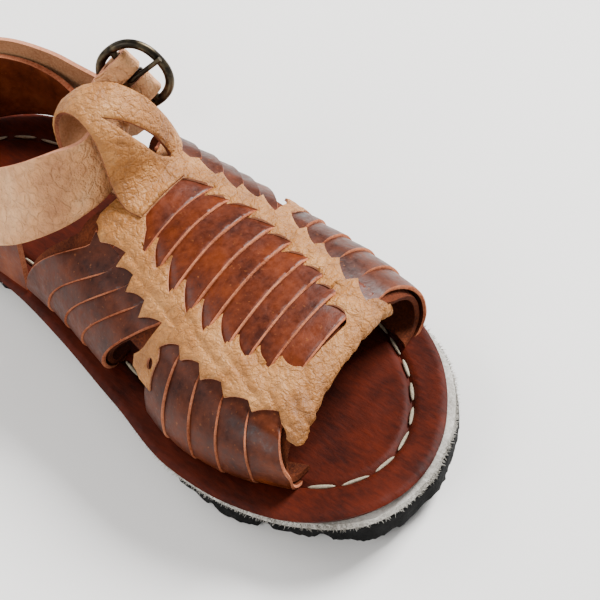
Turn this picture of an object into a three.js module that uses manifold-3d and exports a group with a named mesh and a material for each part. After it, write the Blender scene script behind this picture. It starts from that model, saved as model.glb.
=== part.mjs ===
// Open-toe huarache sandal for the left foot, in millimetres.
// +Z is up, the toe points to -Y and +X is the lateral (outer) side.
// The origin is on the floor, under the middle of the sole's length.
import * as THREE from 'three';
import Module from 'manifold-3d';
import { mergeVertices } from 'three/addons/utils/BufferGeometryUtils.js';

const wasm = await Module();
wasm.setup();

// ---- driving dimensions ------------------------------------------------

const LAST_LENGTH = 180;
const TOE_RIM = 2.4;
const GAP = 0.3;

const OUTSOLE_TOP = 6.9;
const TREAD_DEPTH = 2;
const MIDSOLE_THICK = 2.1;
const INSOLE_THICK = 2.6;
const MIDSOLE_BASE = OUTSOLE_TOP + GAP;
const INSOLE_BASE = MIDSOLE_BASE + MIDSOLE_THICK + GAP;
const INSOLE_TOP = INSOLE_BASE + INSOLE_THICK;
const UPPER_BASE = INSOLE_TOP + GAP;

const VAMP_WALL = 1.8;
const STRIP_RISE = 0.7;
const VAMP_SKEW = 0.2;
const BULGE_HEIGHT = 4.6;
const FOOT_TURN = 5;
const FOOT_TAIL = 3;
const LOOP_WALL = 1.4;
const COUNTER_WALL = 1.8;

const STRAP_WIDTH = 19;
const STRAP_THICK = 1.6;
const STRAP_END_WIDTH = 12.2;
const WIRE_RADIUS = 1.15;
const BAR_RADIUS = 0.95;
const PRONG_RADIUS = 0.65;
const RUNNING_GAP = 0.35;

// Sole outline: centre line offset and half width by place along the length
// (0 at the heel, 1 at the toe), before the two ends are rounded.
const SOLE_STATIONS = [
  { at: 0.00, centre: 0.0, half: 26.5 },
  { at: 0.15, centre: 0.2, half: 27.3 },
  { at: 0.32, centre: 0.9, half: 28.0 },
  { at: 0.47, centre: 0.8, half: 31.2 },
  { at: 0.60, centre: 1.4, half: 35.6 },
  { at: 0.74, centre: -0.7, half: 38.9 },
  { at: 0.87, centre: -3.1, half: 38.1 },
  { at: 1.00, centre: -7.1, half: 35.8 },
];
const HEEL_ROUNDING = 7;
const TOE_ROUNDING = 3.9;

// Height of the tread above the floor: the heel and the ball stand on it.
const SOLE_LIFT = [
  { at: 0.00, lift: 0.8 },
  { at: 0.06, lift: 0.0 },
  { at: 0.26, lift: 0.0 },
  { at: 0.45, lift: 1.4 },
  { at: 0.62, lift: 0.0 },
  { at: 0.80, lift: 0.0 },
  { at: 0.90, lift: 1.3 },
  { at: 1.00, lift: 4.0 },
];

// How far each layer's edge lies inside the insole's edge (negative stands proud).
const OUTSOLE_EDGE = [
  { at: 0.00, medial: -1.5, lateral: -1.5 },
  { at: 0.18, medial: 0.2, lateral: 0.0 },
  { at: 0.30, medial: 4.6, lateral: 2.6 },
  { at: 0.76, medial: 3.2, lateral: 1.3 },
  { at: 0.82, medial: 2.0, lateral: -0.9 },
  { at: 0.89, medial: 3.8, lateral: -2.2 },
  { at: 0.95, medial: 2.6, lateral: -2.6 },
  { at: 0.98, medial: 1.2, lateral: -2.2 },
  { at: 1.00, medial: -0.2, lateral: -1.4 },
];
const MIDSOLE_EDGE = [
  { at: 0.00, medial: 0.6, lateral: 0.6 },
  { at: 0.18, medial: 0.8, lateral: 0.6 },
  { at: 0.30, medial: 2.4, lateral: 1.4 },
  { at: 0.72, medial: 1.4, lateral: 0.8 },
  { at: 0.84, medial: 1.6, lateral: -1.0 },
  { at: 0.93, medial: 1.4, lateral: -2.0 },
  { at: 0.98, medial: 0.2, lateral: -1.6 },
  { at: 1.00, medial: -0.4, lateral: -0.8 },
];
const INSOLE_EDGE = [
  { at: 0, medial: 0, lateral: 0 },
  { at: 1, medial: 0, lateral: 0 },
];

// Vamp sections: crown height above the floor, half width to each side at the bulge
// over the sole's edge, and how square the arch is (2 is an ellipse).
const VAMP_STATIONS = [
  { at: 0.30, crown: 56.0, medial: 25.0, lateral: 26.0, square: 2.1 },
  { at: 0.41, crown: 50.5, medial: 25.6, lateral: 27.2, square: 2.1 },
  { at: 0.52, crown: 45.0, medial: 27.8, lateral: 30.6, square: 2.1 },
  { at: 0.63, crown: 41.0, medial: 30.4, lateral: 33.0, square: 2.1 },
  { at: 0.74, crown: 37.5, medial: 33.4, lateral: 33.8, square: 2.2 },
  { at: 0.81, crown: 34.2, medial: 31.6, lateral: 32.6, square: 2.4 },
  { at: 0.87, crown: 30.6, medial: 27.6, lateral: 29.6, square: 2.7 },
  { at: 0.93, crown: 28.0, medial: 22.0, lateral: 26.0, square: 2.9 },
];

// Edges across the vamp, from the throat to the toe opening: where each crosses the crown,
// the outer side of the tan spine and the foot of the wall. The strips lie between them.
const VAMP_EDGES = [
  { name: 'throat', crown: 1.5, spine: 9.0, foot: 28.0 },
  { name: 'strip_a', crown: -4.2, spine: 4.0, foot: 27.0 },
  { name: 'strip_b', crown: -9.8, spine: -5.0, foot: 20.0 },
  { name: 'strip_c', crown: -15.6, spine: -11.0, foot: 11.6 },
  { name: 'strip_d', crown: -21.9, spine: -16.6, foot: 2.6 },
  { name: 'notch', crown: -27.6, spine: -21.6, foot: -6.0 },
  { name: 'strip_e', crown: -28.4, spine: -23.2, foot: -25.0 },
  { name: 'strip_f', crown: -35.0, spine: -30.4, foot: -35.0 },
  { name: 'strip_g', crown: -42.2, spine: -37.4, foot: -44.0 },
  { name: 'strip_h', crown: -46.9, spine: -44.6, foot: -51.4 },
  { name: 'strip_i', crown: -52.6, spine: -51.8, foot: -58.0 },
  { name: 'apron', crown: -59.2, spine: -61.0, foot: -66.0 },
  { name: 'opening', crown: -62.4, spine: -64.6, foot: -66.8 },
];
// Girths of the tan spine's two margins and of its raised middle, of the top of the side
// notch, and of the last strip line before the wall turns in.
const SPINE_INNER = 0.27;
const SPINE_CREST = [0.3, 0.4];
const SPINE_OUTER = 0.43;
const NOTCH_TOP = 0.66;
const STRIPS_END = 1.05;
const GIRTH_LINES = [
  0, 0.13, SPINE_INNER, ...SPINE_CREST, SPINE_OUTER, 0.54, NOTCH_TOP, 0.8, 1, 1.1, 1.2, 1.3, 1.5,
];
const LINE_SPLIT = 0.22;

// Keeper loop: the medial and lateral edges of the folded tongue, row by row from its
// root on the vamp, over the top and back down to the throat, and how far it crowns.
const LOOP_ROWS = [
  { lx: -6.8, ly: 1.4, lz: 44.0, rx: 17.8, ry: 4.2, rz: 40.0, crown: 3.0 },
  { lx: -7.1, ly: 2.2, lz: 52.0, rx: 16.2, ry: 3.8, rz: 47.5, crown: 3.0 },
  { lx: -7.2, ly: 3.2, lz: 60.0, rx: 14.4, ry: 3.6, rz: 55.0, crown: 2.4 },
  { lx: -7.1, ly: 5.4, lz: 65.4, rx: 12.0, ry: 4.6, rz: 61.6, crown: 2.0 },
  { lx: -7.0, ly: 9.6, lz: 68.4, rx: 9.6, ry: 6.6, rz: 66.4, crown: 1.8 },
  { lx: -7.0, ly: 14.4, lz: 68.0, rx: 5.6, ry: 10.6, rz: 70.2, crown: 1.6 },
  { lx: -7.2, ly: 18.6, lz: 64.4, rx: 0.6, ry: 16.4, rz: 69.4, crown: 1.2 },
  { lx: -7.5, ly: 20.4, lz: 58.0, rx: 0.6, ry: 20.6, rz: 62.0, crown: 1.0 },
  { lx: -7.5, ly: 19.4, lz: 51.6, rx: 2.0, ry: 20.4, rz: 54.0, crown: 1.0 },
  { lx: -6.6, ly: 15.0, lz: 47.2, rx: 3.6, ry: 16.8, rz: 48.4, crown: 0.6 },
  { lx: -5.6, ly: 8.0, lz: 45.6, rx: 6.0, ry: 9.2, rz: 45.8, crown: 0.2 },
  { lx: -5.0, ly: 0.2, lz: 44.6, rx: 8.0, ry: 1.4, rz: 43.8, crown: -0.4 },
];
const SLIT = { topX: -3.8, topZ: 67.2, lowX: 9.6, lowZ: 46.8, bulge: 4.4, sag: 0.8 };

// Heel counter: inset of its wall from the insole's edge and the height of its top edge,
// by place along the wall (0 at the medial front, 1 at the lateral front).
const COUNTER_STATIONS = [
  { at: 0.00, top: 40.0, inset: 2.6 },
  { at: 0.25, top: 42.0, inset: 2.4 },
  { at: 0.52, top: 44.0, inset: 2.2 },
  { at: 0.75, top: 36.0, inset: 2.2 },
  { at: 1.00, top: 24.0, inset: 2.2 },
];
const COUNTER_FRONT = { medial: 25, lateral: 52 };
const COUNTER_LEAN = 0.07;

// Ankle strap round the heel: centre height and roll by place along the counter.
const STRAP_ON_HEEL = [
  { at: 0.90, height: 24.5, roll: 6, clear: 2.0 },
  { at: 0.84, height: 27.0, roll: 5, clear: 1.0 },
  { at: 0.74, height: 31.0, roll: 5, clear: 0.6 },
  { at: 0.62, height: 35.0, roll: 5, clear: 0.5 },
  { at: 0.52, height: 37.0, roll: 5, clear: 0.5 },
  { at: 0.40, height: 38.8, roll: 5, clear: 0.5 },
  { at: 0.26, height: 40.5, roll: 6, clear: 0.5 },
  { at: 0.10, height: 42.0, roll: 9, clear: 0.6 },
];
// Its free end, beyond the counter on the lateral side.
const STRAP_FREE_END = [
  { x: 37.2, y: 49.5, z: 11.5, roll: 8, width: 15 },
  { x: 34.6, y: 53.0, z: 15.5, roll: 8, width: 19 },
  { x: 31.4, y: 58.0, z: 20.5, roll: 7, width: 19 },
];
// Its run from the heel across the instep and through the keeper loop.
const STRAP_ON_INSTEP = [
  { x: -28.4, y: 31.0, z: 44.0, roll: 16, width: 19 },
  { x: -26.6, y: 21.5, z: 47.5, roll: 28, width: 19 },
  { x: -21.6, y: 13.0, z: 52.0, roll: 32, width: 18.2 },
  { x: -14.4, y: 8.0, z: 54.8, roll: 22, width: 17.4 },
  { x: -7.6, y: 6.4, z: 56.0, roll: 12, width: 16.6 },
  { x: -2.0, y: 8.2, z: 57.8, roll: 10, width: 15.4 },
  { x: 2.2, y: 10.9, z: 60.2, roll: 20, width: 13.6 },
];

// Buckle: the middle of its bar, the direction in which the strap reaches it, the roll of
// the bar from upright, and how far the frame leans from the strap's plane.
const BAR_CENTRE = new THREE.Vector3(13, 12.4, 67.2);
const STRAP_HEADING = -17.5;
const STRAP_CLIMB = 28;
const BAR_ROLL = 27.5;
const FRAME_LEAN = 25;
const FRAME_HALF_LENGTH = 8.5;
const FRAME_HALF_WIDTH = 7.8;
const FRAME_SQUARE = 2.3;
const SLOT_WIDTH = 2.2;
const SLOT_BACK = 8;
const PRONG_OVERHANG = 1.4;

// ---- tables and curves ---------------------------------------------------

/** Reads a column of a table at a place, as a monotone cubic through its rows. */
function readTable(rows, column, place) {
  const last = rows.length - 1;
  if (place <= rows[0].at) return rows[0][column];
  if (place >= rows[last].at) return rows[last][column];
  const slope = (i) => (rows[i + 1][column] - rows[i][column]) / (rows[i + 1].at - rows[i].at);
  const tangent = (i) => {
    if (i === 0) return slope(0);
    if (i === last) return slope(last - 1);
    const before = slope(i - 1);
    const after = slope(i);
    return before * after <= 0 ? 0 : (2 * before * after) / (before + after);
  };
  const i = rows.findIndex((row) => row.at > place) - 1;
  const span = rows[i + 1].at - rows[i].at;
  const t = (place - rows[i].at) / span;
  const t2 = t * t;
  const t3 = t2 * t;
  return (2 * t3 - 3 * t2 + 1) * rows[i][column]
    + (t3 - 2 * t2 + t) * span * tangent(i)
    + (3 * t2 - 2 * t3) * rows[i + 1][column]
    + (t3 - t2) * span * tangent(i + 1);
}

const placeOf = (y) => 0.5 - y / LAST_LENGTH;
const reachOf = (y) => LAST_LENGTH / 2 + (y > 0 ? 0 : TOE_RIM);
const soleLift = (y) => readTable(SOLE_LIFT, 'lift', placeOf(y));
const soleCentre = (y) => readTable(SOLE_STATIONS, 'centre', placeOf(y));

/** Half width of the sole at y, with both ends rounded, less an inset. */
function soleHalf(y, inset = 0) {
  const out = Math.min(1, Math.abs(y) / (reachOf(y) - inset));
  const rounding = y > 0 ? HEEL_ROUNDING : TOE_ROUNDING;
  const full = readTable(SOLE_STATIONS, 'half', placeOf(y)) - inset;
  return full * Math.sqrt(1 - out ** rounding);
}

const spread = (count, make) => Array.from({ length: count }, (_, i) => make(i / (count - 1), i));
const degrees = THREE.MathUtils.degToRad;

// ---- solids ----------------------------------------------------------------

/** Closed solid from positions and triangles, with coincident vertices merged. */
function solidFrom(positions, triangles) {
  const geometry = new THREE.BufferGeometry();
  geometry.setAttribute('position', new THREE.Float32BufferAttribute(positions.flat(), 3));
  geometry.setIndex(triangles.flat());
  return solidFromGeometry(geometry);
}

/** Closed solid from a three.js geometry. */
function solidFromGeometry(source) {
  const bare = source.clone();
  bare.deleteAttribute('normal');
  bare.deleteAttribute('uv');
  const geometry = mergeVertices(bare, 1e-5);
  return new wasm.Manifold(new wasm.Mesh({
    numProp: 3,
    vertProperties: Float32Array.from(geometry.attributes.position.array),
    triVerts: Uint32Array.from(geometry.index.array),
  }));
}

/** Named mesh of a solid. */
function meshOf(name, solid, material) {
  const { vertProperties, triVerts } = solid.getMesh();
  const geometry = new THREE.BufferGeometry();
  geometry.setAttribute('position', new THREE.BufferAttribute(vertProperties, 3));
  geometry.setIndex(new THREE.BufferAttribute(triVerts, 1));
  geometry.computeVertexNormals();
  const mesh = new THREE.Mesh(geometry, material);
  mesh.name = name;
  return mesh;
}

/** Solid from two facing grids of points joined round the edges of the kept cells. */
function solidBetween(outer, inner, keep = () => true) {
  const rows = outer.length;
  const columns = outer[0].length;
  const positions = [...outer.flat(), ...inner.flat()].map((p) => [p.x, p.y, p.z]);
  const out = (i, j) => i * columns + j;
  const back = (i, j) => rows * columns + out(i, j);
  const kept = (i, j) => i >= 0 && j >= 0 && i < rows - 1 && j < columns - 1 && keep(i, j);
  const triangles = [];
  const quad = (a, b, c, d) => triangles.push([a, b, c], [a, c, d]);
  const wall = (i, j, k, l) => quad(out(i, j), back(i, j), back(k, l), out(k, l));
  for (let i = 0; i < rows - 1; i += 1) {
    for (let j = 0; j < columns - 1; j += 1) {
      if (!kept(i, j)) continue;
      quad(out(i, j), out(i, j + 1), out(i + 1, j + 1), out(i + 1, j));
      quad(back(i, j), back(i + 1, j), back(i + 1, j + 1), back(i, j + 1));
      if (!kept(i - 1, j)) wall(i, j, i, j + 1);
      if (!kept(i + 1, j)) wall(i + 1, j + 1, i + 1, j);
      if (!kept(i, j - 1)) wall(i + 1, j, i, j);
      if (!kept(i, j + 1)) wall(i, j + 1, i + 1, j + 1);
    }
  }
  return solidFrom(positions, triangles);
}

/** Unit normals of a grid of points, by central differences. */
function gridNormals(grid) {
  const at = (i, j) => grid[Math.min(Math.max(i, 0), grid.length - 1)][Math.min(Math.max(j, 0), grid[0].length - 1)];
  return grid.map((row, i) => row.map((_, j) => {
    const along = at(i + 1, j).clone().sub(at(i - 1, j));
    const across = at(i, j + 1).clone().sub(at(i, j - 1));
    return across.cross(along).normalize();
  }));
}

/** Sheet of even thickness about a grid of middle points. */
function sheet(grid, thickness, keep) {
  const normals = gridNormals(grid);
  const offset = (distance) => grid.map((row, i) => row.map((p, j) => (
    p.clone().addScaledVector(normals[i][j], distance))));
  return solidBetween(offset(thickness / 2), offset(-thickness / 2), keep);
}

/** Box given by its size, its centre and the rotation that carries it. */
function box(size, centre, rotation = new THREE.Quaternion()) {
  const geometry = new THREE.BoxGeometry(...size);
  geometry.applyMatrix4(new THREE.Matrix4().compose(centre, rotation, new THREE.Vector3(1, 1, 1)));
  return solidFromGeometry(geometry);
}

/** Extrusion of a shape, carried by a matrix. */
function extruded(shape, depth, matrix) {
  const geometry = new THREE.ExtrudeGeometry(shape, { depth, bevelEnabled: false });
  geometry.applyMatrix4(matrix);
  return solidFromGeometry(geometry);
}

// ---- sole --------------------------------------------------------------------

/** One layer of the sole between two heights above its tread line. */
function soleLayer(edges, bottom, top, stations = 48) {
  const endInset = { heel: edges[0].medial, toe: edges[edges.length - 1].medial };
  const heelEnd = reachOf(1) - endInset.heel - 0.05;
  const toeEnd = -(reachOf(-1) - endInset.toe - 0.05);
  const ring = (turn) => {
    const y = (heelEnd + toeEnd) / 2 - ((heelEnd - toeEnd) / 2) * Math.cos(turn * Math.PI);
    const medial = soleCentre(y) - soleHalf(y, readTable(edges, 'medial', placeOf(y)));
    const lateral = soleCentre(y) + soleHalf(y, readTable(edges, 'lateral', placeOf(y)));
    return { y, medial, lateral, lift: soleLift(y) };
  };
  const rings = spread(stations, ring);
  const plane = (height) => rings.map((r) => [
    new THREE.Vector3(r.medial, r.y, height + r.lift),
    new THREE.Vector3(r.lateral, r.y, height + r.lift),
  ]);
  return solidBetween(plane(top), plane(bottom));
}

/** Tyre tread: cross grooves from both edges and one crooked groove down the middle. */
function treadGrooves() {
  const pitch = 14;
  const width = 3;
  const up = new THREE.Vector3(0, 0, 1);
  const grooves = [];
  for (let y = -LAST_LENGTH / 2 + 10; y < LAST_LENGTH / 2 - 6; y += pitch) {
    const side = soleHalf(y);
    const depth = TREAD_DEPTH + soleLift(y);
    const height = depth + 2;
    const place = (x, shift) => new THREE.Vector3(soleCentre(y) + x, y + shift, depth - height / 2);
    const slant = (angle) => new THREE.Quaternion().setFromAxisAngle(up, degrees(angle));
    grooves.push(box([side, width, height], place(-side * 0.78, 0), slant(14)));
    grooves.push(box([side, width, height], place(side * 0.78, pitch / 2), slant(-14)));
    grooves.push(box([width, pitch + 1.2, height], place(0, pitch / 2), slant(grooves.length % 2 ? 16 : -16)));
  }
  return grooves.reduce((all, one) => all.add(one));
}

const outsole = () => soleLayer(OUTSOLE_EDGE, 0, OUTSOLE_TOP).subtract(treadGrooves());
const midsole = () => soleLayer(MIDSOLE_EDGE, MIDSOLE_BASE, MIDSOLE_BASE + MIDSOLE_THICK);
const insole = () => soleLayer(INSOLE_EDGE, INSOLE_BASE, INSOLE_TOP);

// ---- upper ---------------------------------------------------------------------

/** Outer face of the vamp at a girth (0 crown, 1 bulge, 1.5 end of the turned-in foot) and y. */
function vampSection(girth, y) {
  const place = placeOf(y);
  const reach = Math.abs(girth);
  const side = girth < 0 ? -1 : 1;
  const half = readTable(VAMP_STATIONS, side < 0 ? 'medial' : 'lateral', place);
  const crown = readTable(VAMP_STATIONS, 'crown', place);
  const power = 2 / readTable(VAMP_STATIONS, 'square', place);
  const floor = UPPER_BASE + soleLift(y);
  const bulge = floor + BULGE_HEIGHT;
  if (reach <= 1) {
    const turn = (reach * Math.PI) / 2;
    const rise = Math.max(0, Math.cos(turn)) ** power;
    return { x: side * half * Math.sin(turn) ** power, z: bulge + (crown - bulge) * rise };
  }
  const turn = Math.min(1, (reach - 1) / 0.3) * (Math.PI / 2);
  const tail = Math.max(0, (reach - 1.3) / 0.2) * FOOT_TAIL;
  const inward = FOOT_TURN * (1 - Math.cos(turn)) + tail;
  return { x: side * (half - inward), z: floor + BULGE_HEIGHT * (1 - Math.sin(turn)) };
}

/** Where a vamp edge crosses a girth, before the skew: smooth through crown, spine and foot. */
function edgeAt(edge, girth) {
  const reach = Math.min(1, Math.abs(girth));
  const rows = [
    { at: -SPINE_OUTER, y: edge.spine },
    { at: 0, y: edge.crown },
    { at: SPINE_OUTER, y: edge.spine },
    { at: 1, y: edge.foot },
  ];
  return readTable(rows, 'y', reach);
}

/** Point of the vamp's outer face at a girth, on an edge moved along the shoe by a shift. */
function vampPoint(edge, girth, shift) {
  const straight = edgeAt(edge, girth) + shift;
  let section = vampSection(girth, straight);
  for (let pass = 0; pass < 3; pass += 1) section = vampSection(girth, straight + VAMP_SKEW * section.x);
  return new THREE.Vector3(section.x, straight + VAMP_SKEW * section.x, section.z);
}

/** Lines along which the vamp is built: two at each strip edge and one in each middle. */
function vampLines() {
  const lines = [];
  let wasStrip = false;
  VAMP_EDGES.forEach((edge, i) => {
    const next = VAMP_EDGES[i + 1];
    const isStrip = edge.name.startsWith('strip');
    const isEnd = i === 0 || !next;
    if (isEnd) lines.push({ edge, shift: 0, strip: 0 });
    else {
      lines.push({ edge, shift: LINE_SPLIT, strip: wasStrip ? 1 : 0 });
      lines.push({ edge, shift: -LINE_SPLIT, strip: 0, opens: edge.name });
    }
    wasStrip = isStrip;
    if (isStrip && next) {
      const middle = { crown: 0, spine: 0, foot: 0 };
      Object.keys(middle).forEach((key) => { middle[key] = (edge[key] + next[key]) / 2; });
      lines.push({ edge: middle, shift: 0, strip: 0.5 });
    }
  });
  return lines;
}

/** How far the outer face stands above the wall at a girth, for a strip's place from rear to front. */
function stripRise(girth, strip) {
  const reach = Math.abs(girth);
  if (reach > STRIPS_END) return 0;
  if (reach >= SPINE_CREST[0] && reach <= SPINE_CREST[1]) return STRIP_RISE;
  return STRIP_RISE * strip;
}

/** The vamp: one open wall with its shingled strips, turned in along the sole. */
function vampWall() {
  const girths = [...GIRTH_LINES.slice(1).reverse(), ...GIRTH_LINES.map((g) => -g)];
  const lines = vampLines();
  const face = lines.map((line) => girths.map((girth) => vampPoint(line.edge, girth, line.shift)));
  const normals = gridNormals(face);
  const offset = (distance) => face.map((row, i) => row.map((p, j) => (
    p.clone().addScaledVector(normals[i][j], distance(i, j)))));
  const outer = offset((i, j) => stripRise(girths[j], lines[i].strip));
  const inner = offset(() => -VAMP_WALL);
  const notch = lines.findIndex((line) => line.opens === 'notch');
  const inNotch = (i, j) => i === notch
    && Math.min(Math.abs(girths[j]), Math.abs(girths[j + 1])) >= NOTCH_TOP - 1e-6;
  return solidBetween(outer, inner, (i, j) => !inNotch(i, j));
}

/** The tongue, folded back over itself into a closed keeper loop. */
function keeperLoop() {
  const edge = (side) => new THREE.CatmullRomCurve3(
    LOOP_ROWS.map((r) => new THREE.Vector3(r[`${side}x`], r[`${side}y`], r[`${side}z`])),
    false, 'centripetal');
  const medial = edge('l');
  const lateral = edge('r');
  const crowns = LOOP_ROWS.map((row, i) => ({ at: i / (LOOP_ROWS.length - 1), crown: row.crown }));
  const grid = spread(34, (v) => {
    const left = medial.getPoint(v);
    const right = lateral.getPoint(v);
    const along = medial.getTangent(v).add(lateral.getTangent(v));
    const out = right.clone().sub(left).cross(along).normalize();
    return spread(9, (u) => left.clone().lerp(right, u)
      .addScaledVector(out, readTable(crowns, 'crown', v) * 4 * u * (1 - u)));
  });
  return sheet(grid, LOOP_WALL);
}

/** The cutter for the lens-shaped slit in the front of the keeper loop. */
function slitCutter() {
  const top = new THREE.Vector2(SLIT.topX, SLIT.topZ);
  const low = new THREE.Vector2(SLIT.lowX, SLIT.lowZ);
  const chord = low.clone().sub(top);
  const out = new THREE.Vector2(-chord.y, chord.x).normalize();
  const lip = (bulge, count) => spread(count, (t) => top.clone().addScaledVector(chord, t)
    .addScaledVector(out, bulge * 4 * t * (1 - t)));
  const outline = [...lip(SLIT.bulge, 11), ...lip(-SLIT.sag, 11).reverse().slice(1, -1)];
  const shape = new THREE.Shape(outline);
  const depth = 20;
  const stand = new THREE.Matrix4().makeRotationX(Math.PI / 2).setPosition(0, depth / 2 - 0.2, 0);
  return extruded(shape, depth, stand);
}

const upper = () => vampWall().add(keeperLoop()).subtract(slitCutter());

// ---- heel counter and ankle strap ------------------------------------------------

/** Point on the wall round the heel: place 0 to 1 along it, at a height and a distance out. */
function heelPoint(place, height, out) {
  const inset = readTable(COUNTER_STATIONS, 'inset', place) + COUNTER_LEAN * (height - INSOLE_TOP) - out;
  const radius = readTable(SOLE_STATIONS, 'half', 0.15) - inset;
  const middle = LAST_LENGTH / 2 - inset - radius;
  const medialRun = middle - COUNTER_FRONT.medial;
  const lateralRun = middle - COUNTER_FRONT.lateral;
  const round = Math.PI * radius;
  const run = place * (medialRun + round + lateralRun);
  if (run < medialRun) return new THREE.Vector3(-radius, COUNTER_FRONT.medial + run, height);
  if (run > medialRun + round) {
    return new THREE.Vector3(radius, middle - (run - medialRun - round), height);
  }
  const angle = (run - medialRun) / radius;
  return new THREE.Vector3(-radius * Math.cos(angle), middle + radius * Math.sin(angle), height);
}

/** The heel counter, one wall from side to side round the heel. */
function heelCounter() {
  const base = UPPER_BASE + COUNTER_WALL / 2;
  const grid = spread(41, (place) => {
    const top = readTable(COUNTER_STATIONS, 'top', place);
    return spread(5, (up) => {
      const foot = heelPoint(place, base, 0);
      const height = base + (top - base) * up;
      return heelPoint(place, height, 0).setZ(height + (up === 0 ? soleLift(foot.y) : 0));
    });
  });
  return sheet(grid, COUNTER_WALL);
}

/** Directions at the buckle: along the strap's end, along its bar, and out of its grain side. */
function buckleAxes() {
  const flat = Math.cos(degrees(STRAP_CLIMB));
  const along = new THREE.Vector3(
    flat * Math.cos(degrees(STRAP_HEADING)),
    flat * Math.sin(degrees(STRAP_HEADING)),
    Math.sin(degrees(STRAP_CLIMB)),
  );
  const bar = lowerEdge(along, BAR_ROLL);
  return { along, bar, out: bar.clone().cross(along) };
}

/** Direction from a strap's middle to its lower edge, for its heading and roll. */
function lowerEdge(along, roll) {
  const down = new THREE.Vector3(0, 0, -1);
  down.addScaledVector(along, -down.dot(along)).normalize();
  return down.applyAxisAngle(along, -degrees(roll));
}

/** Middle of the strap where it lies over the bar, a distance back from it. */
function strapOverBar(back) {
  const { along, out } = buckleAxes();
  return BAR_CENTRE.clone()
    .addScaledVector(out, BAR_RADIUS + RUNNING_GAP + STRAP_THICK / 2)
    .addScaledVector(along, -back);
}

/** Ribbon of leather through stations that each give a middle, a lower-edge direction and a width. */
function ribbon(stations, steps, thickness, columns = 3) {
  const middle = new THREE.CatmullRomCurve3(stations.map((s) => s.at), false, 'centripetal');
  const grid = spread(steps, (t) => {
    const place = t * (stations.length - 1);
    const i = Math.min(Math.floor(place), stations.length - 2);
    const blend = place - i;
    const edge = stations[i].edge.clone().lerp(stations[i + 1].edge, blend).normalize();
    const width = THREE.MathUtils.lerp(stations[i].width, stations[i + 1].width, blend);
    const point = middle.getPoint(t);
    return spread(columns, (u) => point.clone().addScaledVector(edge, (u - 0.5) * width));
  });
  return sheet(grid, thickness);
}

/** Stations of the ankle strap from its free end round the heel to the buckle's bar. */
function strapStations() {
  const round = STRAP_ON_HEEL.map((row) => {
    const out = COUNTER_WALL / 2 + GAP + STRAP_THICK / 2 + row.clear;
    return { at: heelPoint(row.at, row.height, out), roll: row.roll, width: STRAP_WIDTH };
  });
  const place = (row) => ({ ...row, at: new THREE.Vector3(row.x, row.y, row.z) });
  const open = [...STRAP_FREE_END.map(place), ...round, ...STRAP_ON_INSTEP.map(place)];
  const end = [8, 4, 0].map((back) => ({ at: strapOverBar(back), width: STRAP_END_WIDTH }));
  const all = [...open, ...end];
  const curve = new THREE.CatmullRomCurve3(all.map((s) => s.at), false, 'centripetal');
  return all.map((station, i) => {
    const along = curve.getTangent(i / (all.length - 1));
    const nearEnd = i >= open.length;
    const edge = nearEnd ? buckleAxes().bar : lowerEdge(along, station.roll);
    return { at: station.at, edge, width: station.width };
  });
}

/** The strap's end, folded round the bar and brought back under itself. */
function strapFold() {
  const { along, bar, out } = buckleAxes();
  const radius = BAR_RADIUS + RUNNING_GAP + STRAP_THICK / 2;
  const point = (t, n) => BAR_CENTRE.clone().addScaledVector(along, t).addScaledVector(out, n);
  const turn = spread(9, (s) => point(radius * Math.sin(s * Math.PI), radius * Math.cos(s * Math.PI)));
  const path = [point(-0.6, radius), ...turn, point(-2.4, -radius * 0.9), point(-5.4, 0.7)];
  const grid = path.map((p) => spread(3, (u) => (
    p.clone().addScaledVector(bar, (u - 0.5) * STRAP_END_WIDTH))));
  return sheet(grid, STRAP_THICK);
}

/** The slot through the fold that the prong moves in. */
function prongSlot() {
  const { along, bar, out } = buckleAxes();
  const turn = new THREE.Quaternion().setFromRotationMatrix(new THREE.Matrix4().makeBasis(bar, along, out));
  const front = BAR_RADIUS + RUNNING_GAP + STRAP_THICK + 1;
  const length = front + SLOT_BACK;
  const centre = BAR_CENTRE.clone().addScaledVector(along, front - length / 2);
  return box([SLOT_WIDTH, length, 9], centre, turn);
}

const ankleStrap = () => ribbon(strapStations(), 110, STRAP_THICK).add(strapFold()).subtract(prongSlot());

// ---- buckle -------------------------------------------------------------------------

/** Round wire along a path. */
function wire(path, radius, steps, sides = 12) {
  const section = new THREE.Shape().absellipse(0, 0, radius, radius, 0, 2 * Math.PI);
  const geometry = new THREE.ExtrudeGeometry(section, {
    steps, extrudePath: path, curveSegments: sides / 2, bevelEnabled: false,
  });
  return solidFromGeometry(geometry);
}

/** Directions of the frame: across it, along its bar, and out of its front. */
function frameAxes() {
  const { along, bar, out } = buckleAxes();
  const lean = degrees(FRAME_LEAN);
  const across = along.clone().multiplyScalar(Math.cos(lean)).addScaledVector(out, Math.sin(lean));
  return { across, bar, out: bar.clone().cross(across) };
}

/** The oval frame with its centre bar. */
function buckleFrame() {
  const { across, bar } = frameAxes();
  const power = 2 / FRAME_SQUARE;
  const rounded = (value) => Math.sign(value) * Math.abs(value) ** power;
  const points = Array.from({ length: 28 }, (_, i) => {
    const angle = (i / 28) * 2 * Math.PI;
    return BAR_CENTRE.clone()
      .addScaledVector(bar, FRAME_HALF_LENGTH * rounded(Math.cos(angle)))
      .addScaledVector(across, FRAME_HALF_WIDTH * rounded(Math.sin(angle)));
  });
  const ring = new THREE.CatmullRomCurve3(points, true, 'centripetal');
  const end = (side) => BAR_CENTRE.clone().addScaledVector(bar, side * (FRAME_HALF_LENGTH - 0.1));
  return wire(ring, WIRE_RADIUS, 44).add(wire(new THREE.LineCurve3(end(-1), end(1)), BAR_RADIUS, 1));
}

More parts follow.
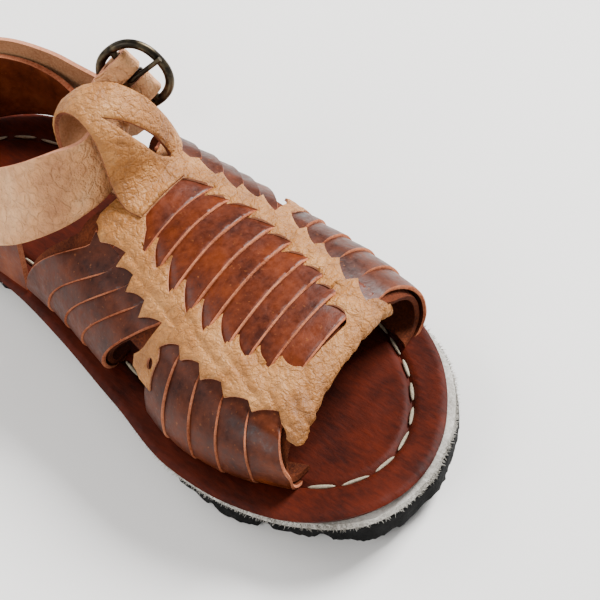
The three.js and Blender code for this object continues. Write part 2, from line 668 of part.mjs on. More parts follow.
/** The prong: a shank over the rim, with its root curled round the bar. */
function buckleProng() {
  const { across, out } = frameAxes();
  const radius = BAR_RADIUS + GAP + PRONG_RADIUS;
  const point = (t, n) => BAR_CENTRE.clone().addScaledVector(across, t).addScaledVector(out, n);
  const tip = FRAME_HALF_WIDTH + PRONG_OVERHANG;
  const shank = spread(6, (u) => point(tip * (1 - u), radius));
  const curl = spread(10, (u) => {
    const angle = Math.PI * (0.5 + 1.5 * u);
    return point(radius * Math.cos(angle), radius * Math.sin(angle));
  });
  const path = new THREE.CatmullRomCurve3([...shank, ...curl.slice(1)], false, 'centripetal');
  return wire(path, PRONG_RADIUS, 36, 10);
}

// ---- assembly ------------------------------------------------------------------------

const finish = (color, roughness, metalness = 0) => new THREE.MeshStandardMaterial({ color, roughness, metalness });

const sandal = new THREE.Group();
sandal.add(
  meshOf('outsole', outsole(), finish(0x1c1c1d, 0.85)),
  meshOf('midsole', midsole(), finish(0xb9b4ab, 0.95)),
  meshOf('insole', insole(), finish(0x6b2410, 0.6)),
  meshOf('upper', upper(), finish(0xd2a779, 0.65)),
  meshOf('heel_counter', heelCounter(), finish(0x6e3318, 0.5)),
  meshOf('ankle_strap', ankleStrap(), finish(0xdcb58c, 0.65)),
  meshOf('buckle_frame', buckleFrame(), finish(0x4a4034, 0.45, 0.9)),
  meshOf('buckle_prong', buckleProng(), finish(0x4a4034, 0.45, 0.9)),
);

export default sandal;
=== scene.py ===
"""Open-toe huarache sandal for the left foot: woven vamp, keeper loop, ankle strap and layered sole.

The toe points to -Y, +X is the lateral side and the sandal stands on the floor at Z = 0.
Sizes are in millimetres; every finished mesh is in metres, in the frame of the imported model.
"""

import logging
import math
from dataclasses import dataclass, field
from enum import Enum
from typing import Any, Callable, Sequence

import bpy
import numpy as np
from mathutils import Matrix, Vector, noise
from mathutils.geometry import delaunay_2d_cdt


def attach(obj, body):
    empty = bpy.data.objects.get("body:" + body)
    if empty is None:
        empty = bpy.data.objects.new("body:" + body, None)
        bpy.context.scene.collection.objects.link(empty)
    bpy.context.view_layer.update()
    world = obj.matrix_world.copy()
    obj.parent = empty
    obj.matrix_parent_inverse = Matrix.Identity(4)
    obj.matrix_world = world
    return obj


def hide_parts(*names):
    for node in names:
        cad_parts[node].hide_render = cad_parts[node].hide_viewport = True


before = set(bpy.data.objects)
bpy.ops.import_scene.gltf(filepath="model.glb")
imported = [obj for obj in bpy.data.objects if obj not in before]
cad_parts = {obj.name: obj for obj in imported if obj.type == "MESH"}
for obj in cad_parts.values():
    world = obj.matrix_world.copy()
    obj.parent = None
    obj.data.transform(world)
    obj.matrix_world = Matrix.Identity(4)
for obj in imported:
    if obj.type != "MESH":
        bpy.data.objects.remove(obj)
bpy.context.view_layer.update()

Array = np.ndarray
Field = Callable[[Array], Array]
Outline = list[tuple[float, float]]
Mesh = tuple[Array, list[tuple[int, ...]], list[int]]
LOG = logging.getLogger("sandal")
MM = 0.001

# Names of the bodies that pieces ride on.
SHOE, FRAME, PRONG = "shoe", "buckle_frame", "buckle_prong"


# ---- numbers and tables ------------------------------------------------------------------


def smooth(low: float, high: float, value: Array | float) -> Array:
    """Soft step from 0 at one value to 1 at another.

    Args:
        low: value where the step starts.
        high: value where the step ends; it may lie below the start.
        value: where to read the step.

    Returns:
        The step, between 0 and 1.
    """
    t = np.clip((np.asarray(value, float) - low) / (high - low), 0, 1)
    return t * t * (3 - 2 * t)


def mix(start: Array | float, end: Array | float, share: Array | float) -> Array:
    """Value between two others at a share of the way."""
    return np.asarray(start) + (np.asarray(end) - np.asarray(start)) * share


def unit(vectors: Array) -> Array:
    """Vectors of length one, along the last axis."""
    return vectors / np.maximum(np.linalg.norm(vectors, axis=-1, keepdims=True), 1e-12)


class Table:
    """Monotone cubic through rows of a place and the values there."""

    def __init__(self, *rows: Sequence[float]) -> None:
        """Keeps the rows and works out a tangent for each.

        Args:
            rows: each one a place followed by its values, in rising order of place.
        """
        data = np.array(rows, float)
        self.places, self.values = data[:, 0], data[:, 1:]
        slopes = np.diff(self.values, axis=0) / np.diff(self.places)[:, None]
        before, after = slopes[:-1], slopes[1:]
        total = np.where(before + after == 0, 1, before + after)
        inner = np.where(before * after <= 0, 0, 2 * before * after / total)
        self.tangents = np.vstack([slopes[:1], inner, slopes[-1:]])

    def read(self, place: Array | float, column: int = 0) -> Array:
        """Reads one column at any places.

        Args:
            place: where to read; the end rows hold beyond the table.
            column: which value to read.

        Returns:
            The values at those places.
        """
        at = np.clip(place, self.places[0], self.places[-1])
        i = np.clip(np.searchsorted(self.places, at, side="right") - 1, 0, len(self.places) - 2)
        span = self.places[i + 1] - self.places[i]
        t = (at - self.places[i]) / span
        y0, y1 = self.values[i, column], self.values[i + 1, column]
        m0, m1 = self.tangents[i, column] * span, self.tangents[i + 1, column] * span
        return (
            (2 * t**3 - 3 * t**2 + 1) * y0 + (t**3 - 2 * t**2 + t) * m0
            + (3 * t**2 - 2 * t**3) * y1 + (t**3 - t**2) * m1
        )


@dataclass
class Spline:
    """Centripetal Catmull-Rom curve through points, read from 0 at the first to 1 at the last."""

    points: Array

    def read(self, share: Array) -> Array:
        """Points of the curve.

        Args:
            share: places along the curve, with every span between points taking the same share.

        Returns:
            One point for each place.
        """
        p = np.asarray(self.points, float)
        ends = np.vstack([2 * p[0] - p[1], p, 2 * p[-1] - p[-2]])
        place = np.clip(share, 0, 1) * (len(p) - 1)
        i = np.clip(place.astype(int), 0, len(p) - 2)
        t = (place - i)[:, None]
        a, b, c, d = ends[i], ends[i + 1], ends[i + 2], ends[i + 3]
        pairs = ((a, b), (b, c), (c, d))
        gaps = [np.linalg.norm(n - m, axis=1, keepdims=True) for m, n in pairs]
        step = [np.maximum(gap, 1e-9) ** 0.5 for gap in gaps]
        start = ((b - a) / step[0] - (c - a) / (step[0] + step[1]) + (c - b) / step[1]) * step[1]
        stop = ((c - b) / step[1] - (d - b) / (step[1] + step[2]) + (d - c) / step[2]) * step[1]
        return (
            b + start * t + (-3 * b + 3 * c - 2 * start - stop) * t**2
            + (2 * b - 2 * c + start + stop) * t**3
        )


def nothing(points: Array) -> Array:
    """A field that is zero everywhere."""
    return np.zeros(len(points))


def level(height: float) -> Field:
    """Field that has one value everywhere.

    Args:
        height: the value.

    Returns:
        The field.
    """
    return lambda points: np.full(len(points), height)


def roughness_field(
    points: Array, size: float, seed: float, stretch: Sequence[float] = (1, 1, 1),
) -> Array:
    """Soft random unevenness at points of a surface.

    Args:
        points: places in millimetres.
        size: distance between its swells.
        seed: moves the pattern.
        stretch: how much longer the swells are along each axis.

    Returns:
        Values between about -1 and 1.
    """
    scaled = points / (size * np.asarray(stretch, float)) + seed
    return np.array([noise.noise(Vector(p)) for p in scaled])


def uneven(*swells: tuple) -> Field:
    """Field of soft unevenness, as worked leather has it.

    Args:
        swells: height, size and seed of each layer of swells, and its stretch where it has one.

    Returns:
        The sum of the layers, by place in space.
    """
    def height(points: Array) -> Array:
        """Sum of the layers at points."""
        return sum(amount * roughness_field(points, *rest) for amount, *rest in swells)

    return height


# ---- outlines ----------------------------------------------------------------------------


def bowed(start: Sequence[float], end: Sequence[float], bow: float, count: int) -> Outline:
    """Points from a start up to an end, on an arc that stands off the straight line.

    Args:
        start: first point, which is included.
        end: last point, which is left out.
        bow: how far the middle stands off, to the left of the way.
        count: number of points.

    Returns:
        The points.
    """
    a, b = np.asarray(start, float), np.asarray(end, float)
    side = unit(np.array([a[1] - b[1], b[0] - a[0]]))
    shares = [i / count for i in range(count)]
    return [tuple(mix(a, b, t) + side * bow * 4 * t * (1 - t)) for t in shares]


def oval(centre: Sequence[float], half: Sequence[float], count: int) -> Array:
    """Closed oval outline.

    Args:
        centre: its middle.
        half: half its size along each planar axis.
        count: number of points.

    Returns:
        The points, anticlockwise.
    """
    turn = np.linspace(0, 2 * math.pi, count, endpoint=False)
    return np.stack([centre[0] + half[0] * np.cos(turn), centre[1] + half[1] * np.sin(turn)], axis=1)


def facing(outline: Array) -> Array:
    """Turns a closed outline so that it runs anticlockwise.

    Args:
        outline: the outline, run either way.

    Returns:
        The outline, or its points in the other order.
    """
    x, y = outline[:, 0], outline[:, 1]
    area = (x * np.roll(y, -1) - np.roll(x, -1) * y).sum()
    return outline if area > 0 else outline[::-1]


def dense(outline: Array, step: float) -> Array:
    """Outline with points added so that no side is longer than a step.

    Args:
        outline: closed outline, its first point not repeated.
        step: longest side.

    Returns:
        The denser outline.
    """
    points = []
    for a, b in zip(outline, np.roll(outline, -1, axis=0)):
        count = max(1, math.ceil(np.linalg.norm(b - a) / step))
        points += [mix(a, b, i / count) for i in range(count)]
    return np.array(points)


def inside(points: Array, outline: Array) -> Array:
    """Which points lie inside a closed outline.

    Args:
        points: places to test.
        outline: the closed outline.

    Returns:
        True for each point inside.
    """
    within = np.zeros(len(points), bool)
    for (x0, y0), (x1, y1) in zip(outline, np.roll(outline, -1, axis=0)):
        if y0 == y1:
            continue
        crosses = (points[:, 1] < y0) != (points[:, 1] < y1)
        reach = x0 + (points[:, 1] - y0) * (x1 - x0) / (y1 - y0)
        within ^= crosses & (points[:, 0] < reach)
    return within


def distance_to(points: Array, outline: Array) -> Array:
    """Distance of points from a closed outline.

    Args:
        points: places to measure.
        outline: the closed outline.

    Returns:
        One distance for each point.
    """
    nearest = np.full(len(points), np.inf)
    for a, b in zip(outline, np.roll(outline, -1, axis=0)):
        along = b - a
        share = np.clip(((points - a) @ along) / max(along @ along, 1e-12), 0, 1)
        nearest = np.minimum(nearest, np.linalg.norm(points - a - share[:, None] * along, axis=1))
    return nearest


# ---- shape of the last -------------------------------------------------------------------

# The last, the sole's reach past it at the toe, and how full the outline is at each end.
LAST_LENGTH = 180.0
TOE_RIM = 2.4
HEEL_ROUNDING = 7.0
TOE_ROUNDING = 3.9
# Gap that keeps an outline's end points clear of the very tip; where the heel's width is read.
END_CLEAR = 0.02
HEEL_PLACE = 0.15
# Heights above the tread line.
MIDSOLE_BASE = 7.2
MIDSOLE_TOP = 9.3
INSOLE_BASE = 9.6
INSOLE_TOP = 12.2
UPPER_BASE = 12.5
# The vamp's foot: the bulge over the sole, its bend inwards and its flat tail, in millimetres
# and as shares of the girth.
BULGE_HEIGHT = 4.6
FOOT_TURN = 5.0
FOOT_TAIL = 3.0
BEND_GIRTH = 0.3
TAIL_GIRTH = 0.2
# Lengthwise slant of the strips for each millimetre sideways, and girth from crown to bulge.
VAMP_SKEW = 0.2
GIRTH = 45.0

# Place along the sole (0 heel, 1 toe), offset of its middle, half width.
SOLE = Table(
    (0.00, 0.0, 26.5), (0.15, 0.2, 27.3), (0.32, 0.9, 28.0), (0.47, 0.8, 31.2),
    (0.60, 1.4, 35.6), (0.74, -0.7, 38.9), (0.87, -3.1, 38.1), (1.00, -7.1, 35.8),
)
# Place along the sole, height of the tread above the floor.
SOLE_LIFT = Table(
    (0.00, 0.8), (0.06, 0.0), (0.26, 0.0), (0.45, 1.4), (0.62, 0.0), (0.80, 0.0), (0.90, 1.3),
    (1.00, 4.0),
)
# Place along the sole, how far a layer's medial and lateral edges lie inside the insole's edge.
MIDSOLE_EDGE = Table(
    (0.00, 0.6, 0.6), (0.18, 0.8, 0.6), (0.30, 2.4, 1.4), (0.72, 1.4, 0.8),
    (0.84, 1.6, -1.0), (0.93, 1.4, -2.0), (0.98, 0.2, -1.6), (1.00, -0.4, -0.8),
)
INSOLE_EDGE = Table((0.0, 0.0, 0.0), (1.0, 0.0, 0.0))
# Place along the last, crown height, medial and lateral half width, squareness of the arch.
VAMP = Table(
    (0.30, 56.0, 25.0, 26.0, 2.1), (0.41, 50.5, 25.6, 27.2, 2.1), (0.52, 45.0, 27.8, 30.6, 2.1),
    (0.63, 41.0, 30.4, 33.0, 2.1), (0.74, 37.5, 33.4, 33.8, 2.2), (0.81, 34.2, 31.6, 32.6, 2.4),
    (0.87, 30.6, 27.6, 29.6, 2.7), (0.93, 28.0, 22.0, 26.0, 2.9),
)


def place_of(y: Array | float) -> Array:
    """Place along the last, 0 at the heel and 1 at the toe."""
    return 0.5 - np.asarray(y, float) / LAST_LENGTH


def sole_lift(y: Array | float) -> Array:
    """Height of the tread above the floor."""
    return SOLE_LIFT.read(place_of(y))


def sole_half(y: Array, inset: Array) -> Array:
    """Half width of the sole, both ends rounded, less an inset.

    Args:
        y: places along the shoe.
        inset: how far the edge is drawn in at each.

    Returns:
        The half width at each place.
    """
    reach = LAST_LENGTH / 2 + np.where(y > 0, 0, TOE_RIM)
    rounding = np.where(y > 0, HEEL_ROUNDING, TOE_ROUNDING)
    out = np.minimum(1, np.abs(y) / (reach - inset))
    return (SOLE.read(place_of(y), 1) - inset) * np.sqrt(1 - out**rounding)


def sole_outline(edge: Table, inset: float = 0.0, count: int = 150) -> Array:
    """Closed outline of one layer of the sole, anticlockwise from above.

    Args:
        edge: medial and lateral insets of the layer.
        inset: a further even inset.
        count: number of stations along each side.

    Returns:
        Points in x and y.
    """
    heel = LAST_LENGTH / 2 - edge.read(0.0) - inset - END_CLEAR
    toe = -(LAST_LENGTH / 2 + TOE_RIM - edge.read(1.0) - inset - END_CLEAR)
    turn = np.linspace(0, math.pi, count)
    y = (heel + toe) / 2 + (heel - toe) / 2 * np.cos(turn)
    middle = SOLE.read(place_of(y))
    medial = middle - sole_half(y, edge.read(place_of(y), 0) + inset)
    lateral = middle + sole_half(y, edge.read(place_of(y), 1) + inset)
    left = np.stack([medial, y], axis=1)
    right = np.stack([lateral, y], axis=1)[::-1]
    return np.vstack([left, right[1:-1]])


class Surface:
    """A curved surface that planar millimetres are laid on."""

    STEP = 0.25

    def at(self, points: Array) -> Array:
        """Places of planar points in space."""
        raise NotImplementedError

    def normals(self, points: Array) -> Array:
        """Directions out of the surface at planar points.

        Args:
            points: planar places.

        Returns:
            One unit vector for each point.
        """
        across = self.at(points + [self.STEP, 0]) - self.at(points - [self.STEP, 0])
        along = self.at(points + [0, self.STEP]) - self.at(points - [0, self.STEP])
        return unit(np.cross(across, along))


class VampSurface(Surface):
    """Outer face of the vamp: girth from the crown to the feet, and the skewed length of the shoe.

    A planar point is the girth (45 mm from the crown to the bulge over the sole) and the length
    along the shoe less a fifth of the sideways place, so that the strips run straight across.
    """

    # Girth, length of the toe opening's edge there.
    OPENING = Table(
        (-1.5, -66.8), (-0.56, -65.0), (-0.3, -64.2), (0.0, -62.8), (0.3, -63.2), (0.5, -65.0),
        (1.5, -66.8),
    )
    ROLL = 1.0
    SKEW_PASSES = 4

    def at(self, points: Array) -> Array:
        """Places on the vamp; beyond the toe opening they roll inwards round its edge.

        Args:
            points: planar places.

        Returns:
            Points in millimetres.
        """
        girth, length = points[:, 0] / GIRTH, points[:, 1]
        edge = self.OPENING.read(girth)
        base = self.on_last(girth, np.maximum(length, edge))
        over = np.maximum(edge - length, 0)
        if not over.any():
            return base
        ahead = unit(self.on_last(girth, edge) - self.on_last(girth, edge + 0.5))
        across = self.on_last(girth + 0.01, edge) - self.on_last(girth - 0.01, edge)
        out = unit(np.cross(across, -ahead))
        turn = (over / self.ROLL)[:, None]
        return base + self.ROLL * (np.sin(turn) * ahead - (1 - np.cos(turn)) * out)

    def on_last(self, girth: Array, length: Array) -> Array:
        """Places on the last itself.

        Args:
            girth: 0 at the crown, 1 at the bulge and 1.5 at the end of the turned-in foot,
                negative to the medial side.
            length: length along the shoe before the skew.

        Returns:
            Points in millimetres.
        """
        x = np.zeros(len(girth))
        for _ in range(self.SKEW_PASSES):
            x, z = self.section(girth, length + VAMP_SKEW * x)
        return np.stack([x, length + VAMP_SKEW * x, z], axis=1)

    def section(self, girth: Array, y: Array) -> tuple[Array, Array]:
        """Cross section of the last.

        Args:
            girth: places round the section.
            y: place of the section along the shoe.

        Returns:
            Sideways place and height of each point.
        """
        place, reach, side = place_of(y), np.abs(girth), np.where(girth < 0, -1, 1)
        half = np.where(girth < 0, VAMP.read(place, 1), VAMP.read(place, 2))
        crown, power = VAMP.read(place, 0), 2 / VAMP.read(place, 3)
        floor = UPPER_BASE + sole_lift(y)
        bulge = floor + BULGE_HEIGHT
        rise = np.clip(reach, 0, 1) * math.pi / 2
        turn = np.clip((reach - 1) / BEND_GIRTH, 0, 1) * math.pi / 2
        tail = np.maximum(0, (reach - 1 - BEND_GIRTH) / TAIL_GIRTH) * FOOT_TAIL
        arch_x = half * np.sin(rise) ** power
        arch_z = bulge + (crown - bulge) * np.maximum(0, np.cos(rise)) ** power
        foot_x = half - FOOT_TURN * (1 - np.cos(turn)) - tail
        foot_z = floor + BULGE_HEIGHT * (1 - np.sin(turn))
        return side * np.where(reach <= 1, arch_x, foot_x), np.where(reach <= 1, arch_z, foot_z)


VAMP_FACE = VampSurface()


# ---- nodes, colours and finishes ---------------------------------------------------------


def linear(code: str) -> tuple[float, float, float, float]:
    """Linear colour of an sRGB hex code.

    Args:
        code: six hex digits.

    Returns:
        Red, green, blue and full opacity.
    """
    parts = [int(code[i:i + 2], 16) / 255 for i in (0, 2, 4)]
    red, green, blue = (c / 12.92 if c <= 0.04045 else ((c + 0.055) / 1.055) ** 2.4 for c in parts)
    return red, green, blue, 1.0


def add_node(tree: bpy.types.NodeTree, kind: str, inputs: dict[Any, Any] | None = None,
             stops: Sequence[tuple[float, str]] = (), **settings: Any) -> Any:
    """Adds a node with its settings and links.

    Args:
        tree: tree that gets the node.
        kind: the node's type name.
        inputs: sockets by name or number, each with a value or another node's output.
        stops: place and hex colour of each stop, for a node that grades colours.
        settings: attributes of the node.

    Returns:
        The new node.
    """
    node = tree.nodes.new(kind)
    for name, value in settings.items():
        setattr(node, name, value)
    for socket, value in (inputs or {}).items():
        if isinstance(value, bpy.types.NodeSocket):
            tree.links.new(value, node.inputs[socket])
        else:
            node.inputs[socket].default_value = value
    for number, (place, code) in enumerate(stops):
        elements = node.color_ramp.elements
        element = elements[number] if number < len(elements) else elements.new(place)
        element.position = place
        element.color = linear(code)
    return node


def per_metre(size_mm: float) -> float:
    """Texture scale whose features are a size apart on object coordinates in metres."""
    return 1 / (size_mm * MM)


@dataclass(frozen=True)
class Finish:
    """A material of one of the sandal's pieces."""

    name: str

    def material(self) -> bpy.types.Material:
        """Makes the material, or finds it if it was made before.

        Returns:
            The material.
        """
        made = bpy.data.materials.get(self.name)
        if made:
            return made
        made = bpy.data.materials.new(self.name)
        made.use_nodes = True
        tree = made.node_tree
        tree.nodes.clear()
        shader = add_node(tree, "ShaderNodeBsdfPrincipled")
        add_node(tree, "ShaderNodeOutputMaterial", {"Surface": shader.outputs[0]})
        self.dress(tree, shader, add_node(tree, "ShaderNodeTexCoord").outputs["Object"])
        return made

    def dress(self, tree: bpy.types.NodeTree, shader: Any, where: Any) -> None:
        """Sets the shader's colours, roughness and bump.

        Args:
            tree: the material's node tree.
            shader: its surface shader.
            where: place on the object, in metres.
        """
        raise NotImplementedError


@dataclass(frozen=True)
class NaturalLeather(Finish):
    """Vegetable-tanned, undyed grain leather, drummed soft: pale tan with a pebbled, creased face.

    Attributes:
        low: darkest tone of its blotches.
        body: its common tone.
        high: its lightest tone.
        pebble: size of its pebbles.
        ruck: distance between its fine wrinkles.
        crease: size of the cells between its creases.
        crack: depth of those creases, against the pebbles.
        relief: strength of the whole.
    """

    low: str = "83501F"
    body: str = "A1672D"
    high: str = "B98046"
    pebble: float = 1.3
    ruck: float = 2.4
    crease: float = 2.6
    crack: float = 0.45
    relief: float = 0.7

    def dress(self, tree: bpy.types.NodeTree, shader: Any, where: Any) -> None:
        """Blotched tan colour, with painted shade in its furrows, a faint painted highlight on its high
        places and a dull wax sheen.

        Args:
            tree: the material's node tree.
            shader: its surface shader.
            where: place on the object, in metres.
        """
        blotch = add_node(tree, "ShaderNodeTexNoise", {
            "Vector": where, "Scale": per_metre(12), "Detail": 5.0, "Roughness": 0.65,
        })
        bent = add_node(tree, "ShaderNodeTexNoise", {
            "Vector": where, "Scale": per_metre(2.2), "Detail": 3.0,
        })
        shift = add_node(tree, "ShaderNodeVectorMath", {
            0: bent.outputs["Color"], "Scale": 1.4 * MM,
        }, operation="SCALE")
        moved = add_node(tree, "ShaderNodeVectorMath", {0: where, 1: shift.outputs[0]}, operation="ADD")
        cells = add_node(tree, "ShaderNodeTexVoronoi", {
            "Vector": moved.outputs[0], "Scale": per_metre(self.pebble), "Smoothness": 0.35,
        }, feature="SMOOTH_F1")
        rucks = add_node(tree, "ShaderNodeTexNoise", {
            "Vector": moved.outputs[0], "Scale": per_metre(self.ruck), "Detail": 4.0, "Roughness": 0.6,
        }, noise_type="RIDGED_MULTIFRACTAL", normalize=False)
        pores = add_node(tree, "ShaderNodeTexNoise", {
            "Vector": where, "Scale": per_metre(0.5), "Detail": 2.0, "Roughness": 0.6,
        })
        bed = add_node(tree, "ShaderNodeMath", {
            0: cells.outputs["Distance"], 1: -1.0, 2: pores.outputs["Fac"],
        }, operation="MULTIPLY_ADD")
        drawn = add_node(tree, "ShaderNodeVectorMath", {
            0: bent.outputs["Color"], "Scale": 2.6 * MM,
        }, operation="SCALE")
        swung = add_node(tree, "ShaderNodeVectorMath", {0: where, 1: drawn.outputs[0]}, operation="ADD")
        seams = add_node(tree, "ShaderNodeTexVoronoi", {
            "Vector": swung.outputs[0], "Scale": per_metre(self.crease),
        }, feature="DISTANCE_TO_EDGE")
        crack = add_node(tree, "ShaderNodeMapRange", {
            "Value": seams.outputs["Distance"], "From Min": 0.0, "From Max": 0.16,
            "To Min": -self.crack, "To Max": 0.0,
        }, interpolation_type="SMOOTHSTEP")
        wrinkled = add_node(tree, "ShaderNodeMath", {
            0: rucks.outputs["Fac"], 1: -0.35, 2: bed.outputs[0],
        }, operation="MULTIPLY_ADD")
        height = add_node(tree, "ShaderNodeMath", {
            0: wrinkled.outputs[0], 1: crack.outputs[0],
        }, operation="ADD")
        tone = add_node(tree, "ShaderNodeValToRGB", {"Fac": blotch.outputs["Fac"]}, stops=(
            (0.32, self.low), (0.5, self.body), (0.68, self.high),
        )).outputs["Color"]
        # Painted shade and highlight: the relief's height darkens the tone to 0.7 in the furrows and lifts it
        # to 1.06 on the high places.
        shade = add_node(tree, "ShaderNodeMapRange", {
            "Value": height.outputs[0], "From Min": -1.5, "From Max": 0.2, "To Min": 0.7, "To Max": 1.06,
        })
        dark = add_node(tree, "ShaderNodeVectorMath", {0: tone, "Scale": shade.outputs[0]}, operation="SCALE")
        bump = add_node(tree, "ShaderNodeBump", {
            "Height": height.outputs[0], "Strength": self.relief, "Distance": 0.45 * MM,
        })
        tree.links.new(dark.outputs[0], shader.inputs["Base Color"])
        tree.links.new(bump.outputs[0], shader.inputs["Normal"])
        shader.inputs["Roughness"].default_value = 0.52
        shader.inputs["Specular IOR Level"].default_value = 0.4


@dataclass(frozen=True)
class GlazedLeather(Finish):
    """Dyed leather glazed with wax: orange-brown, glossy, rubbed lighter on its high places.

    Attributes:
        low: darkest tone of the dye.
        body: its common tone.
        high: its lightest tone.
        fleck: tone of the rubbed specks.
        gloss: roughness where the wax is whole.
    """

    low: str = "360F02"
    body: str = "541E03"
    high: str = "6C2B06"
    fleck: str = "8E5024"
    gloss: float = 0.38

    def dress(self, tree: bpy.types.NodeTree, shader: Any, where: Any) -> None:
        """Mottled dye, pale rubbed specks and a broken gloss.

        Args:
            tree: the material's node tree.
            shader: its surface shader.
            where: place on the object, in metres.
        """
        cloud = add_node(tree, "ShaderNodeTexNoise", {
            "Vector": where, "Scale": per_metre(9), "Detail": 6.0, "Roughness": 0.6,
        })
        mottle = add_node(tree, "ShaderNodeTexNoise", {
            "Vector": where, "Scale": per_metre(1.6), "Detail": 3.0, "Roughness": 0.65,
        })
        specks = add_node(tree, "ShaderNodeTexNoise", {
            "Vector": where, "Scale": per_metre(0.9), "Detail": 2.0, "Roughness": 0.5,
        })
        clouded = add_node(tree, "ShaderNodeMath", {0: cloud.outputs["Fac"], 1: 0.7}, operation="MULTIPLY")
        summed = add_node(tree, "ShaderNodeMath", {
            0: mottle.outputs["Fac"], 1: 0.3, 2: clouded.outputs[0],
        }, operation="MULTIPLY_ADD")
        tone = add_node(tree, "ShaderNodeValToRGB", {"Fac": summed.outputs[0]}, stops=(
            (0.36, self.low), (0.5, self.body), (0.66, self.high),
        )).outputs["Color"]
        rub = add_node(tree, "ShaderNodeMapRange", {
            "Value": specks.outputs["Fac"], "From Min": 0.66, "From Max": 0.78, "To Min": 0.0, "To Max": 0.5,
        })
        colour = add_node(tree, "ShaderNodeMix", {
            0: rub.outputs[0], 6: tone, 7: linear(self.fleck),
        }, data_type="RGBA")
        shine = add_node(tree, "ShaderNodeMapRange", {
            "Value": mottle.outputs["Fac"], "From Min": 0.3, "From Max": 0.7,
            "To Min": self.gloss - 0.06, "To Max": self.gloss + 0.14,
        })
        bump = add_node(tree, "ShaderNodeBump", {
            "Height": mottle.outputs["Fac"], "Strength": 0.25, "Distance": 0.3 * MM,
        })
        tree.links.new(colour.outputs[2], shader.inputs["Base Color"])
        tree.links.new(shine.outputs[0], shader.inputs["Roughness"])
        tree.links.new(bump.outputs[0], shader.inputs["Normal"])
        shader.inputs["Specular IOR Level"].default_value = 0.22


@dataclass(frozen=True)
class RawLeather(Finish):
    """Open fibres, as at a cut edge or a flesh side: matt and slightly uneven in colour.

    Attributes:
        low: tone between the fibres.
        high: tone of the fibres.
        fibre: distance between them.
        stretch: how far the pattern is drawn together along each axis.
        roughness: how matt it is.
        strength: how far the fibres stand up.
    """

    low: str = "9C6048"
    high: str = "D39A7C"
    fibre: float = 0.6
    stretch: tuple[float, float, float] = (1.0, 1.0, 1.0)
    roughness: float = 0.82
    strength: float = 0.5

    def dress(self, tree: bpy.types.NodeTree, shader: Any, where: Any) -> None:
        """Short fibres in two tones with no gloss.

        Args:
            tree: the material's node tree.
            shader: its surface shader.
            where: place on the object, in metres.
        """
        turned = add_node(tree, "ShaderNodeMapping", {"Vector": where, "Scale": self.stretch})
        fibres = add_node(tree, "ShaderNodeTexNoise", {
            "Vector": turned.outputs[0], "Scale": per_metre(self.fibre), "Detail": 5.0, "Roughness": 0.65,
        })
        cloud = add_node(tree, "ShaderNodeTexNoise", {
            "Vector": where, "Scale": per_metre(11), "Detail": 3.0,
        })
        summed = add_node(tree, "ShaderNodeMath", {
            0: fibres.outputs["Fac"], 1: cloud.outputs["Fac"],
        }, operation="ADD")
        half = add_node(tree, "ShaderNodeMath", {0: summed.outputs[0], 1: 0.5}, operation="MULTIPLY")
        tone = add_node(tree, "ShaderNodeValToRGB", {"Fac": half.outputs[0]}, stops=(
            (0.36, self.low), (0.62, self.high),
        )).outputs["Color"]
        bump = add_node(tree, "ShaderNodeBump", {
            "Height": fibres.outputs["Fac"], "Strength": self.strength, "Distance": 0.4 * MM,
        })
        tree.links.new(tone, shader.inputs["Base Color"])
        tree.links.new(bump.outputs[0], shader.inputs["Normal"])
        shader.inputs["Roughness"].default_value = self.roughness
        shader.inputs["Specular IOR Level"].default_value = 0.12


@dataclass(frozen=True)
class TyreRubber(Finish):
    """Vulcanised rubber cut from tyre carcass: black, dusty and torn where the knife went."""

    body: str = "020202"
    dust: str = "161616"

    def dress(self, tree: bpy.types.NodeTree, shader: Any, where: Any) -> None:
        """Near-black with grey scuffs and a coarse cut grain.

        Args:
            tree: the material's node tree.
            shader: its surface shader.
            where: place on the object, in metres.
        """
        grit = add_node(tree, "ShaderNodeTexNoise", {
            "Vector": where, "Scale": per_metre(1.1), "Detail": 6.0, "Roughness": 0.7,
        })
        scuff = add_node(tree, "ShaderNodeTexNoise", {"Vector": where, "Scale": per_metre(6), "Detail": 5.0})
        tone = add_node(tree, "ShaderNodeValToRGB", {"Fac": scuff.outputs["Fac"]}, stops=(
            (0.5, self.body), (0.8, self.dust),
        )).outputs["Color"]
        bump = add_node(tree, "ShaderNodeBump", {
            "Height": grit.outputs["Fac"], "Strength": 0.7, "Distance": 0.6 * MM,
        })
        tree.links.new(tone, shader.inputs["Base Color"])
        tree.links.new(bump.outputs[0], shader.inputs["Normal"])
        shader.inputs["Roughness"].default_value = 0.9
        shader.inputs["Specular IOR Level"].default_value = 0.2


@dataclass(frozen=True)
class CastBrass(Finish):
    """Cast brass, chemically aged: dark brown-grey in its hollows, rubbed bright along its edges."""

    dark: str = "2A2620"
    rubbed: str = "5E5340"

    def dress(self, tree: bpy.types.NodeTree, shader: Any, where: Any) -> None:
        """Tarnished metal with rubbed patches.

        Args:
            tree: the material's node tree.
            shader: its surface shader.
            where: place on the object, in metres.
        """
        patch = add_node(tree, "ShaderNodeTexNoise", {"Vector": where, "Scale": per_metre(3), "Detail": 5.0})
        tone = add_node(tree, "ShaderNodeValToRGB", {"Fac": patch.outputs["Fac"]}, stops=(
            (0.42, self.dark), (0.68, self.rubbed),
        )).outputs["Color"]
        bump = add_node(tree, "ShaderNodeBump", {
            "Height": patch.outputs["Fac"], "Strength": 0.3, "Distance": 0.2 * MM,
        })
        tree.links.new(tone, shader.inputs["Base Color"])
        tree.links.new(bump.outputs[0], shader.inputs["Normal"])
        shader.inputs["Metallic"].default_value = 1.0
        shader.inputs["Roughness"].default_value = 0.38


